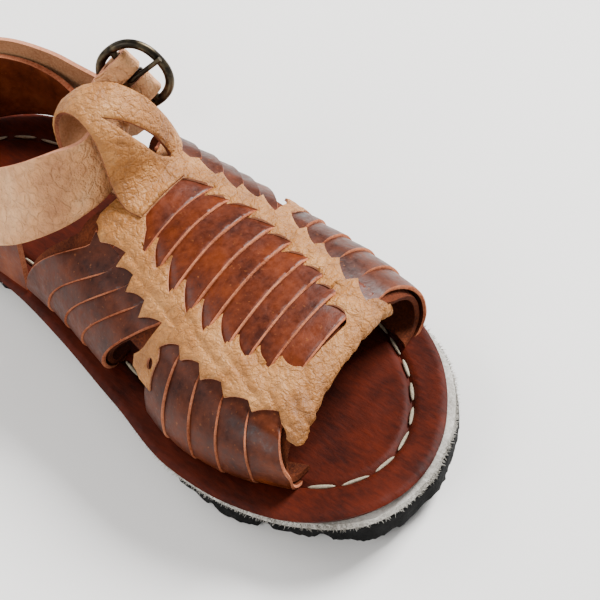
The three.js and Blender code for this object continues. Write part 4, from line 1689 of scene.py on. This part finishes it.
@dataclass
class HeelWall(Surface):
    """Wall round the heel: run along it from the medial front, and height."""

    medial_front: float = 25.0
    lateral_front: float = 52.0
    lean: float = 0.07
    # Planar length of the wall, and the height over which its foot gives up the sole's lift.
    run: float = 150.0
    foot: float = 3.0

    def at(self, points: Array) -> Array:
        """Places on the wall's middle surface.

        Args:
            points: planar places.

        Returns:
            Points in millimetres.
        """
        share, height = points[:, 0] / self.run, points[:, 1]
        spot = self.round_heel(share, height, 0.0)
        foot = 1 - smooth(UPPER_BASE, UPPER_BASE + self.foot, height)
        spot[:, 2] += foot * sole_lift(spot[:, 1])
        return spot

    def round_heel(self, share: Array, height: Array, out: float | Array) -> Array:
        """Points on the wall or at a distance outside it.

        Args:
            share: place along the wall, 0 at the medial front and 1 at the lateral front.
            height: heights above the floor.
            out: distance outside the wall.

        Returns:
            Points in millimetres.
        """
        share, height = np.asarray(share, float), np.asarray(height, float)
        inset = COUNTER.read(share, 1) + self.lean * (height - INSOLE_TOP) - out
        radius = SOLE.read(HEEL_PLACE, 1) - inset
        middle = LAST_LENGTH / 2 - inset - radius
        straight, back = middle - self.medial_front, math.pi * radius
        run = share * (straight + back + middle - self.lateral_front)
        angle = np.clip((run - straight) / radius, 0, math.pi)
        beyond = np.maximum(run - straight - back, 0)
        before = np.maximum(straight - run, 0)
        x = -radius * np.cos(angle)
        y = middle + radius * np.sin(angle) - beyond - before
        return np.stack([x, y, height], axis=1)


@dataclass
class HeelCounter:
    """The leather wall round the heel."""

    thickness: float = 1.8

    def build(self) -> None:
        """Builds and hands over the counter."""
        wall = HeelWall()
        shares = np.linspace(0, 1, 60)
        foot = [(share * wall.run, UPPER_BASE + self.thickness / 2) for share in shares]
        rim = [(share * wall.run, float(COUNTER.read(share))) for share in shares]
        sheet = Sheet(
            facing(np.array(foot + rim[::-1])), wall, self.thickness, spacing=1.2,
            lift=level(-self.thickness / 2), relief=uneven((0.18, 9.0, 31.0), (0.05, 1.8, 33.0)),
        )
        piece = sheet.piece("heel_counter_wall", Finishes.counter, Finishes.strip_edge, Finishes.counter)
        settle(piece, SHOE, "brown_leather", "heel_counter")


@dataclass(frozen=True)
class BuckleAxes:
    """Place and directions of the buckle: along the strap's end, along its bar, out of its grain side."""

    centre: tuple[float, float, float] = (13.0, 12.4, 67.2)
    along: tuple[float, float, float] = (0.8421, -0.2655, 0.4695)
    bar: tuple[float, float, float] = (0.2583, -0.5656, -0.7832)
    out: tuple[float, float, float] = (-0.4735, -0.7808, 0.4077)
    lean: float = math.radians(25)

    def point(self, along: float, out: float) -> Array:
        """Point at distances along and out from the middle of the bar."""
        return np.array(self.centre) + along * np.array(self.along) + out * np.array(self.out)

    def frame_across(self) -> Array:
        """Direction across the frame, which leans out from the strap."""
        return math.cos(self.lean) * np.array(self.along) + math.sin(self.lean) * np.array(self.out)

    def frame_out(self) -> Array:
        """Direction out of the frame's front."""
        return np.cross(np.array(self.bar), self.frame_across())


@dataclass
class RibbonSurface(Surface):
    """Surface of a strap: planar x across it from its middle, planar y along it.

    Attributes:
        middle: its middle line.
        edge: direction to its lower edge, by share of the length.
        width: its width, by share of the length.
        length: its length.
        full: planar width that stands for the width at every place.
    """

    middle: Spline
    edge: Spline
    width: Table
    length: float
    full: float

    def at(self, points: Array) -> Array:
        """Places on the strap.

        Args:
            points: planar places.

        Returns:
            Points in millimetres.
        """
        share = points[:, 1] / self.length
        towards = unit(self.edge.read(share))
        across = (points[:, 0] * (1 / self.full) * self.width.read(share))[:, None]
        return self.middle.read(share) + towards * across


@dataclass
class AnkleStrap:
    """The ankle strap from its free end round the heel, through the loop, to its fold on the bar."""

    width: float = 19.0
    thickness: float = 1.6
    end_width: float = 12.9
    bar_radius: float = 0.95
    running_gap: float = 0.35
    axes: BuckleAxes = field(default_factory=BuckleAxes)
    # Place, roll in degrees and width, at the free end.
    free_end: tuple[tuple[float, ...], ...] = (
        (37.2, 49.5, 11.5, 8, 15), (34.6, 53.0, 15.5, 8, 19), (31.4, 58.0, 20.5, 7, 19),
    )
    # Share of the way round the heel, height, roll and clearance from the counter.
    on_heel: tuple[tuple[float, ...], ...] = (
        (0.90, 24.5, 6, 2.0), (0.84, 27.0, 5, 1.0), (0.74, 31.0, 5, 0.6), (0.62, 35.0, 5, 0.5),
        (0.52, 37.0, 5, 0.5), (0.40, 38.8, 5, 0.5), (0.26, 40.5, 6, 0.5), (0.10, 42.0, 9, 0.6),
    )
    # Place, roll and width, through the loop to the buckle.
    on_instep: tuple[tuple[float, ...], ...] = (
        (-28.4, 31.0, 44.0, 16, 19), (-26.6, 21.5, 47.5, 28, 19), (-21.6, 13.0, 52.0, 32, 18.2),
        (-14.4, 8.0, 54.8, 22, 17.4), (-7.6, 6.4, 56.0, 12, 16.6), (-2.0, 8.2, 57.8, 10, 15.4),
        (2.2, 10.9, 60.2, 20, 13.6),
    )
    # Outer face of the counter from its middle, and the strap's least distance from it.
    wall_half: float = 0.9
    wall_gap: float = 0.3
    # Turns of the fold round the bar, in radians from its front.
    fold_turns: tuple[float, ...] = (0.9, 1.6, 2.3, 3.1)
    # Distances of the punched holes from the free end, and their radius.
    punched: tuple[float, ...] = (9.0, 16.0, 23.0)
    punch_radius: float = 1.1
    # The prong's slot in the fold: half its width, and its ends as shares of the length.
    slot_half: float = 1.05
    slot_ends: tuple[float, float] = (0.722, 0.93)

    def rows(self) -> list[tuple[Array, float, float]]:
        """Stations of the strap from its free end to the buckle.

        Returns:
            Place, roll and width of each.
        """
        wall = HeelWall()
        heel = []
        for share, height, roll, clear in self.on_heel:
            out = self.wall_half + self.wall_gap + self.thickness / 2 + clear
            place = wall.round_heel(np.array([share]), np.array([height]), out)[0]
            heel.append((place, roll, self.width))
        start, end = (
            [(np.array(row[:3]), row[3], row[4]) for row in rows] for rows in (self.free_end, self.on_instep)
        )
        return start + heel + end

    def fold(self) -> list[Array]:
        """Middle line of the strap's end, folded round the bar and laid back on itself.

        Returns:
            Points in millimetres.
        """
        radius = self.bar_radius + self.running_gap + self.thickness / 2
        spots = [(-8.0, radius), (-4.0, radius), (0.0, radius)]
        spots += [(radius * math.sin(turn), radius * math.cos(turn)) for turn in self.fold_turns]
        spots += [(-2.4, -0.9 * radius), (-5.4, 0.5)]
        return [self.axes.point(*spot) for spot in spots]

    def surface(self) -> RibbonSurface:
        """The strap's middle surface from its free end to the bar and round it.

        Returns:
            The surface.
        """
        rows, fold = self.rows(), self.fold()
        curve = Spline(np.array([row[0] for row in rows] + fold))
        share = np.linspace(0, 1, len(rows) + len(fold))
        ahead = unit(curve.read(share + 1e-3) - curve.read(share - 1e-3))
        edges = [self.lower_edge(way, row[1]) for way, row in zip(ahead, rows)]
        edges += [np.array(self.axes.bar)] * len(fold)
        widths = [row[2] for row in rows] + [self.end_width] * len(fold)
        steps = np.linalg.norm(np.diff(curve.read(np.linspace(0, 1, 800)), axis=0), axis=1)
        return RibbonSurface(
            curve, Spline(np.array(edges)), Table(*zip(share, widths)), float(steps.sum()), self.width,
        )

    @staticmethod
    def lower_edge(along: Array, roll: float) -> Array:
        """Direction from the strap's middle to its lower edge.

        Args:
            along: the strap's heading.
            roll: how far it is rolled, in degrees.

        Returns:
            The direction.
        """
        down = np.array([0.0, 0.0, -1.0])
        down = unit(down - along * (down @ along))
        return np.array(Matrix.Rotation(-math.radians(roll), 3, Vector(along)) @ Vector(down))

    def outline(self, length: float) -> Array:
        """Outline of the strap, with its rounded tip.

        Args:
            length: its length.

        Returns:
            The closed planar outline, anticlockwise.
        """
        half = self.width / 2
        left = [(-half, along) for along in np.linspace(5, length, 60)]
        right = [(half, along) for along in np.linspace(length, 5, 60)]
        tip = [(8.0, 2.0), (5.0, 0.3), (0.0, 0.0), (-5.0, 0.3), (-8.0, 2.0)]
        return facing(np.array(left + right + tip))

    def holes(self, length: float) -> list[Array]:
        """The punched holes of the free end and the prong's slot in the fold.

        Args:
            length: length of the strap.

        Returns:
            Their closed planar outlines.
        """
        half = self.slot_half * self.width / self.end_width
        low, high = (share * length for share in self.slot_ends)
        made = [oval((0.0, along), (self.punch_radius,) * 2, 12) for along in self.punched]
        return [*made, np.array([(-half, low), (half, low), (half, high), (-half, high)])]

    def build(self) -> None:
        """Builds and hands over the strap."""
        surface = self.surface()
        sheet = Sheet(
            self.outline(surface.length), surface, self.thickness, holes=self.holes(surface.length),
            spacing=0.9, lift=level(-self.thickness / 2),
            relief=uneven((0.13, 2.4, 51.0), (0.12, 6.0, 52.0)), bevel=0.35,
        )
        piece = sheet.piece(
            "ankle_strap_leather", Finishes.strap, Finishes.tan_edge, Finishes.tan_flesh,
        )
        settle(piece, SHOE, "strap_leather", "ankle_strap")


# ---- sole --------------------------------------------------------------------------------


@dataclass
class SolePlane(Surface):
    """Surface at a height above the tread line, which it follows; planar points are x and y."""

    height: float

    def at(self, points: Array) -> Array:
        """Places at the height above the tread line."""
        z = self.height + sole_lift(points[:, 1])
        return np.stack([points[:, 0], points[:, 1], z], axis=1)


@dataclass
class Sole:
    """Insole, fibre midsole and rubber outsole, with the stitching that holds them."""

    groove_inset: float = 9.3
    groove_width: float = 0.75
    groove_depth: float = 1.1
    stitch_pitch: float = 8.0
    stitch_sink: float = 0.25
    # How far the knife's slope draws the insole's underside in, and how much of that is even.
    slope: float = 1.2
    slope_even: float = 0.3
    half_width: float = 40.0
    # Size of the outsole's mesh, and its least height above the floor for lumps to stand out.
    rubber_mesh: float = 1.0
    tread_clear: float = 0.4

    def groove(self, points: Array) -> Array:
        """Depth of the stitch groove, with the swells that the thread pulls up beside it.

        Args:
            points: places on the insole.

        Returns:
            How far its face stands out or in at each.
        """
        away = distance_to(points[:, :2], sole_outline(INSOLE_EDGE, self.groove_inset))
        cut = -self.groove_depth * np.exp(-((away / self.groove_width) ** 2))
        return cut + uneven((0.12, 7.0, 71.0), (0.05, 1.6, 72.0))(points)

    def insole(self) -> bpy.types.Object:
        """The brushed leather insole with its stitch groove.

        Returns:
            The piece.
        """
        beside = (-1.4, -0.7, 0, 0.7, 1.4)
        sheet = Sheet(
            sole_outline(INSOLE_EDGE), SolePlane(INSOLE_BASE), INSOLE_TOP - INSOLE_BASE,
            spacing=1.1, relief=self.groove, bevel=0.7,
            guides=[sole_outline(INSOLE_EDGE, self.groove_inset + away) for away in beside],
        )
        vertices, faces, kinds = sheet.mesh()
        vertices = self.undercut(vertices, INSOLE_BASE + 0.5)
        return as_object("insole_leather", [(vertices, faces, kinds)], [Finishes.insole] * 3)

    def undercut(self, points: Array, below: float) -> Array:
        """Draws in the underside of a layer, which the knife cut on a slope.

        Args:
            points: the layer's mesh points.
            below: height above the tread line under which points are drawn in.

        Returns:
            The changed points.
        """
        low = points[:, 2] - sole_lift(points[:, 1]) < below
        middle = SOLE.read(place_of(points[:, 1]))
        away = points[:, 0] - middle
        medial = 1 - smooth(-5.0, 20.0, away)
        drawn = self.slope * (self.slope_even + (1 - self.slope_even) * medial)
        share = np.where(low, drawn, 0) / self.half_width
        x = middle + away * (1 - share)
        return np.stack([x, points[:, 1] * (1 - 0.4 * share), points[:, 2]], axis=1)

    def midsole(self) -> bpy.types.Object:
        """The pressed fibre layer.

        Returns:
            The piece.
        """
        sheet = Sheet(
            sole_outline(MIDSOLE_EDGE), SolePlane(MIDSOLE_BASE), MIDSOLE_TOP - MIDSOLE_BASE,
            spacing=1.4, bevel=0.2,
        )
        return sheet.piece("midsole_felt", *[Finishes.felt] * 3)

    def outsole(self) -> bpy.types.Object:
        """The tyre-rubber outsole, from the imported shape, with its knife-cut roughness.

        Returns:
            The piece.
        """
        made = placed("outsole_rubber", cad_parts["outsole"].data.copy())
        made.matrix_world = Matrix.Identity(4)
        remesh = made.modifiers.new("even", "REMESH")
        remesh.mode = "VOXEL"
        remesh.voxel_size = self.rubber_mesh * MM
        plain = evaluated(made)
        made.data = plain
        points = np.array([tuple(vertex.co) for vertex in plain.vertices], np.float32).astype(float) / MM
        outward = np.array([tuple(vertex.normal) for vertex in plain.vertices])
        amount = uneven((0.3, 2.4, 81.0), (0.3, 7.0, 82.0))(points) - 0.1
        amount = np.where(points[:, 2] < self.tread_clear, np.minimum(amount, 0), amount)
        plain.vertices.foreach_set("co", ((points + outward * amount[:, None]) * MM).ravel())
        plain.materials.clear()
        plain.materials.append(Finishes.rubber.material())
        plain.shade_smooth()
        plain.update()
        return made

    def build(self) -> None:
        """Builds and hands over the sole."""
        settle(self.outsole(), SHOE, "sole_rubber", "outsole")
        settle(self.midsole(), SHOE, "fibre_midsole", "midsole")
        settle(self.insole(), SHOE, "insole_leather", "insole")
        settle(self.stitching(), SHOE, "insole_leather")
        settle(self.fibres(), SHOE, "fibre_midsole")

    def stitching(self) -> bpy.types.Object:
        """The waxed stitches in the insole's groove.

        Returns:
            The piece.
        """
        outline = sole_outline(INSOLE_EDGE, self.groove_inset)
        path = path_object("stitch_path", SolePlane(INSOLE_TOP - self.stitch_sink).at(outline))
        thread = StitchTree(self.stitch_pitch, length=6.4, radius=0.45)
        return grown("insole_stitches", path, thread.build(), thread.sizes())

    def fibres(self) -> bpy.types.Object:
        """The loose fibres that stand out of the felt's cut edge.

        Returns:
            The piece.
        """
        outline = sole_outline(MIDSOLE_EDGE)
        low = np.column_stack([outline, MIDSOLE_BASE + sole_lift(outline[:, 1])])
        high = low + [0, 0, MIDSOLE_TOP - MIDSOLE_BASE]
        count = len(outline)
        faces = [(i, (i + 1) % count, (i + 1) % count + count, i + count) for i in range(count)]
        band = as_object("fibre_band", [(np.vstack([low, high]), faces, [0] * count)], [Finishes.felt])
        fuzz = FibreTree(density=4.0, length=1.0, radius=0.09)
        return grown("midsole_fibres", band, fuzz.build(), fuzz.sizes())


# ---- what repeats: stitches and fibres ---------------------------------------------------


def path_object(name: str, points: Array) -> bpy.types.Object:
    """Closed path of edges, for a tree that grows things along it.

    Args:
        name: name of the path.
        points: its points in millimetres.

    Returns:
        The path's object.
    """
    mesh = bpy.data.meshes.new(name)
    count = len(points)
    mesh.from_pydata((points * MM).tolist(), [(i, (i + 1) % count) for i in range(count)], [])
    return placed(name, mesh)


def grown(
    name: str, seat: bpy.types.Object, tree: bpy.types.NodeTree, values: dict[str, float],
) -> bpy.types.Object:
    """Runs a tree on an object and keeps the result as a plain mesh.

    Args:
        name: name of the result.
        seat: object that the tree works on, which is removed.
        tree: the geometry tree.
        values: values of the tree's inputs, by name.

    Returns:
        The finished object.
    """
    modifier = seat.modifiers.new("grow", "NODES")
    modifier.node_group = tree
    for item in tree.interface.items_tree:
        if item.item_type == "SOCKET" and item.in_out == "INPUT" and item.name in values:
            modifier[item.identifier] = values[item.name]
    result = evaluated(seat)
    made = placed(name, result)
    bpy.data.objects.remove(seat)
    result.shade_smooth()
    return made


@dataclass(frozen=True)
class StitchTree:
    """Geometry tree that lays stitches along a path.

    Attributes:
        pitch: distance between stitches.
        length: length of one.
        radius: radius of the thread.
    """

    pitch: float
    length: float
    radius: float

    def sizes(self) -> dict[str, float]:
        """Values of the tree's named inputs.

        Returns:
            The values in metres, by the inputs' names.
        """
        return {
            "Pitch": self.pitch * MM, "Stitch Length": self.length * MM, "Thread Radius": self.radius * MM,
        }

    def build(self) -> bpy.types.NodeTree:
        """Builds the tree.

        Returns:
            A tree with named inputs for the pitch, the length and the thickness of the thread.
        """
        tree = bpy.data.node_groups.new("stitches_along_path", "GeometryNodeTree")
        face = tree.interface
        face.new_socket("Path", in_out="INPUT", socket_type="NodeSocketGeometry")
        for name in self.sizes():
            face.new_socket(name, in_out="INPUT", socket_type="NodeSocketFloat")
        face.new_socket("Stitches", in_out="OUTPUT", socket_type="NodeSocketGeometry")
        enter = add_node(tree, "NodeGroupInput")
        curve = add_node(tree, "GeometryNodeMeshToCurve", {"Mesh": enter.outputs["Path"]})
        points = add_node(tree, "GeometryNodeResampleCurve", {
            "Curve": curve.outputs[0], "Length": enter.outputs["Pitch"],
        }, mode="LENGTH")
        tangent = add_node(tree, "GeometryNodeInputTangent")
        turn = add_node(tree, "FunctionNodeAlignRotationToVector", {"Vector": tangent.outputs[0]}, axis="X")
        ball = add_node(tree, "GeometryNodeMeshUVSphere", {"Segments": 10, "Rings": 8, "Radius": 1.0})
        half = add_node(tree, "ShaderNodeMath", {
            0: enter.outputs["Stitch Length"], 1: 0.5,
        }, operation="MULTIPLY")
        size = add_node(tree, "ShaderNodeCombineXYZ", {
            0: half.outputs[0], 1: enter.outputs["Thread Radius"], 2: enter.outputs["Thread Radius"],
        })
        wobble = add_node(tree, "FunctionNodeRandomValue", {
            0: (0.88, 0.85, 0.85), 1: (1.08, 1.1, 1.1), "Seed": 4,
        }, data_type="FLOAT_VECTOR")
        scaled = add_node(tree, "ShaderNodeVectorMath", {
            0: size.outputs[0], 1: wobble.outputs[0],
        }, operation="MULTIPLY")
        copies = add_node(tree, "GeometryNodeInstanceOnPoints", {
            "Points": points.outputs[0], "Instance": ball.outputs[0],
            "Rotation": turn.outputs[0], "Scale": scaled.outputs[0],
        })
        real = add_node(tree, "GeometryNodeRealizeInstances", {0: copies.outputs[0]})
        dressed = add_node(tree, "GeometryNodeSetMaterial", {
            "Geometry": real.outputs[0], "Material": Finishes.thread.material(),
        })
        add_node(tree, "NodeGroupOutput", {0: dressed.outputs[0]})
        return tree


@dataclass(frozen=True)
class FibreTree:
    """Geometry tree that grows short tapered fibres out of a surface.

    Attributes:
        density: fibres on a square millimetre.
        length: their common length.
        radius: their radius at the root.
    """

    density: float
    length: float
    radius: float

    def sizes(self) -> dict[str, float]:
        """Values of the tree's named inputs.

        Returns:
            The values in metres, by the inputs' names.
        """
        return {
            "Density": self.density / MM**2, "Fibre Length": self.length * MM,
            "Fibre Radius": self.radius * MM,
        }

    def build(self) -> bpy.types.NodeTree:
        """Builds the tree.

        Returns:
            A tree with named inputs for the fibres' number per square millimetre, length and radius.
        """
        tree = bpy.data.node_groups.new("fibres_on_surface", "GeometryNodeTree")
        face = tree.interface
        face.new_socket("Surface", in_out="INPUT", socket_type="NodeSocketGeometry")
        for name in self.sizes():
            face.new_socket(name, in_out="INPUT", socket_type="NodeSocketFloat")
        face.new_socket("Fibres", in_out="OUTPUT", socket_type="NodeSocketGeometry")
        enter = add_node(tree, "NodeGroupInput")
        spots = add_node(tree, "GeometryNodeDistributePointsOnFaces", {
            "Mesh": enter.outputs["Surface"], "Density": enter.outputs["Density"], "Seed": 11,
        })
        cone = add_node(tree, "GeometryNodeMeshCone", {
            "Vertices": 4, "Radius Top": 0.25, "Radius Bottom": 1.0, "Depth": 1.0,
        })
        tilt = add_node(tree, "FunctionNodeRandomValue", {
            0: (-0.9, -0.9, -0.9), 1: (0.9, 0.9, 0.9), "Seed": 12,
        }, data_type="FLOAT_VECTOR")
        lean = add_node(tree, "ShaderNodeVectorMath", {
            0: spots.outputs["Normal"], 1: tilt.outputs[0],
        }, operation="ADD")
        turn = add_node(tree, "FunctionNodeAlignRotationToVector", {"Vector": lean.outputs[0]}, axis="Z")
        spread = add_node(tree, "FunctionNodeRandomValue", {2: 0.35, 3: 1.25, "Seed": 13}, data_type="FLOAT")
        long = add_node(tree, "ShaderNodeMath", {
            0: enter.outputs["Fibre Length"], 1: spread.outputs[1],
        }, operation="MULTIPLY")
        size = add_node(tree, "ShaderNodeCombineXYZ", {
            0: enter.outputs["Fibre Radius"], 1: enter.outputs["Fibre Radius"], 2: long.outputs[0],
        })
        copies = add_node(tree, "GeometryNodeInstanceOnPoints", {
            "Points": spots.outputs["Points"], "Instance": cone.outputs["Mesh"],
            "Rotation": turn.outputs[0], "Scale": size.outputs[0],
        })
        real = add_node(tree, "GeometryNodeRealizeInstances", {0: copies.outputs[0]})
        dressed = add_node(tree, "GeometryNodeSetMaterial", {
            "Geometry": real.outputs[0], "Material": Finishes.felt.material(),
        })
        add_node(tree, "NodeGroupOutput", {0: dressed.outputs[0]})
        return tree


# ---- buckle ------------------------------------------------------------------------------


def tube(path: Array, across: Array, radius: tuple[float, float], sides: int, closed: bool) -> Mesh:
    """Round or oval bar swept along a path.

    Args:
        path: points along its middle.
        across: direction of its wide axis, the same all along.
        radius: half its size along that direction and square to it.
        sides: number of sides.
        closed: whether the path closes on itself.

    Returns:
        Vertices, faces and face kinds.
    """
    ahead = np.roll(path, -1, axis=0) - np.roll(path, 1, axis=0)
    if not closed:
        ahead[0], ahead[-1] = path[1] - path[0], path[-1] - path[-2]
    ahead = unit(ahead)
    wide = unit(across - ahead * (ahead @ across)[:, None])
    high = np.cross(ahead, wide)
    turn = np.linspace(0, 2 * math.pi, sides, endpoint=False)
    towards_wide = (np.cos(turn) * radius[0])[None, :, None]
    towards_high = (np.sin(turn) * radius[1])[None, :, None]
    ring = wide[:, None] * towards_wide + high[:, None] * towards_high
    vertices = (path[:, None] + ring).reshape(-1, 3)
    count = len(path)
    faces = []
    for i in range(count if closed else count - 1):
        for j in range(sides):
            k, after = (j + 1) % sides, (i + 1) % count
            faces.append((i * sides + j, i * sides + k, after * sides + k, after * sides + j))
    if not closed:
        faces.append(tuple(range(sides))[::-1])
        faces.append(tuple((count - 1) * sides + j for j in range(sides)))
    return vertices, faces, [0] * len(faces)


@dataclass
class Buckle:
    """The oval frame with its bar, and the prong curled round the bar."""

    # Half sizes of the ring, its squareness, and the radii of ring, bar and prong.
    half_length: float = 8.5
    half_width: float = 7.8
    square: float = 2.3
    wire: float = 1.15
    flatness: float = 0.92
    bar: float = 0.95
    prong: float = 0.65
    # How far the bar's ends stop short of the ring's middle line, the prong's play on the bar and
    # its reach past the ring.
    bar_short: float = 0.35
    play: float = 0.3
    overhang: float = 1.4
    axes: BuckleAxes = field(default_factory=BuckleAxes)

    def ring(self) -> bpy.types.Object:
        """The oval ring with its bar.

        Returns:
            The piece.
        """
        across, bar, out = self.axes.frame_across(), np.array(self.axes.bar), self.axes.frame_out()
        centre = np.array(self.axes.centre)
        angle = np.linspace(0, 2 * math.pi, 96, endpoint=False)
        power = 2 / self.square
        long = np.sign(np.cos(angle)) * np.abs(np.cos(angle)) ** power * self.half_length
        wide = np.sign(np.sin(angle)) * np.abs(np.sin(angle)) ** power * self.half_width
        path = centre + long[:, None] * bar + wide[:, None] * across
        oval_wire = tube(path, out, (self.wire * self.flatness, self.wire), 16, True)
        reach = self.half_length - self.bar_short
        rod = np.array([centre + along * bar for along in np.linspace(-reach, reach, 12)])
        parts = [oval_wire, tube(rod, out, (self.bar, self.bar), 16, False)]
        return as_object("buckle_ring", parts, [Finishes.brass])

    def tongue(self) -> bpy.types.Object:
        """The prong: a straight shank that lies over the ring, curled round the bar.

        Returns:
            The piece.
        """
        across, out = self.axes.frame_across(), self.axes.frame_out()
        centre, bar = np.array(self.axes.centre), np.array(self.axes.bar)
        radius = self.bar + self.play + self.prong
        tip = self.half_width + self.overhang
        shank = [centre + along * across + radius * out for along in np.linspace(tip, 0, 16)]
        curl = [
            centre + radius * (math.cos(turn) * across + math.sin(turn) * out)
            for turn in math.pi * (0.5 + 1.5 * np.linspace(0, 1, 24))
        ]
        hook = tube(np.array(shank + curl[1:]), bar, (self.prong, self.prong), 14, False)
        return as_object("buckle_tongue", [hook], [Finishes.brass])

    def build(self) -> None:
        """Builds and hands over the ring and the prong."""
        settle(self.ring(), FRAME, "buckle_metal", "buckle_frame")
        settle(self.tongue(), PRONG, "buckle_metal", "buckle_prong")


# ---- floor, light and camera -------------------------------------------------------------


@dataclass
class Studio:
    """Pale floor, soft light and the camera."""

    eye: tuple[float, float, float] = (-163.87, -255.18, 330.98)
    right: tuple[float, float, float] = (0.70018, -0.70724, -0.09780)
    up: tuple[float, float, float] = (0.57482, 0.47716, 0.66476)
    lens: float = 102.46
    floor_half: float = 4000.0
    # Name, place, side and power of each light.
    lamps: tuple[tuple, ...] = (
        ("key", (820, -140, 760), 420, 34), ("fill", (-260, 900, 700), 700, 7),
        ("side", (-820, -60, 560), 460, 5.5),
    )
    world_strength: float = 0.5

    def camera(self) -> None:
        """Places the camera, looking down at the toe from the medial side."""
        lens = bpy.data.cameras.new("camera")
        lens.sensor_width = 36.0
        lens.lens = self.lens
        lens.clip_start = 0.01
        eye = placed("camera", lens)
        right = Vector(self.right).normalized()
        up = Vector(self.up)
        up = (up - right * up.dot(right)).normalized()
        turn = Matrix((right, up, right.cross(up))).transposed()
        eye.matrix_world = Matrix.Translation(Vector(self.eye) * MM) @ turn.to_4x4()
        bpy.context.scene.camera = eye

    def floor(self) -> None:
        """Lays the floor."""
        half = self.floor_half
        corners = np.array([(-half, -half, 0), (half, -half, 0), (half, half, 0), (-half, half, 0)])
        made = as_object("floor", [(corners, [(0, 1, 2, 3)], [0])], [Finishes.paper])

    def lamp(self, name: str, place: tuple[float, float, float], size: float, power: float) -> None:
        """Adds a square soft light that faces the shoe.

        Args:
            name: name of the light.
            place: its place in millimetres.
            size: its side in millimetres.
            power: its power in watts.
        """
        light = bpy.data.lights.new(name, "AREA")
        light.size = size * MM
        light.energy = power
        spot = Vector(place) * MM
        turn = (-spot).to_track_quat("-Z", "Y").to_matrix()
        placed(name, light).matrix_world = Matrix.Translation(spot) @ turn.to_4x4()

    def build(self) -> None:
        """Sets up the whole studio."""
        self.camera()
        self.floor()
        for lamp in self.lamps:
            self.lamp(*lamp)
        world = bpy.data.worlds.new("studio")
        world.use_nodes = True
        back = world.node_tree.nodes["Background"]
        back.inputs["Color"].default_value = (1, 1, 1, 1)
        back.inputs["Strength"].default_value = self.world_strength
        bpy.context.scene.world = world


def main() -> None:
    """Builds the sandal and its studio."""
    logging.basicConfig(level=logging.INFO, format="%(name)s: %(message)s")
    for part in (Studio(), Sole(), Vamp(), KeeperLoop(), HeelCounter(), AnkleStrap(), Buckle()):
        part.build()
    bpy.context.view_layer.update()


if __name__ == "__main__":
    main()
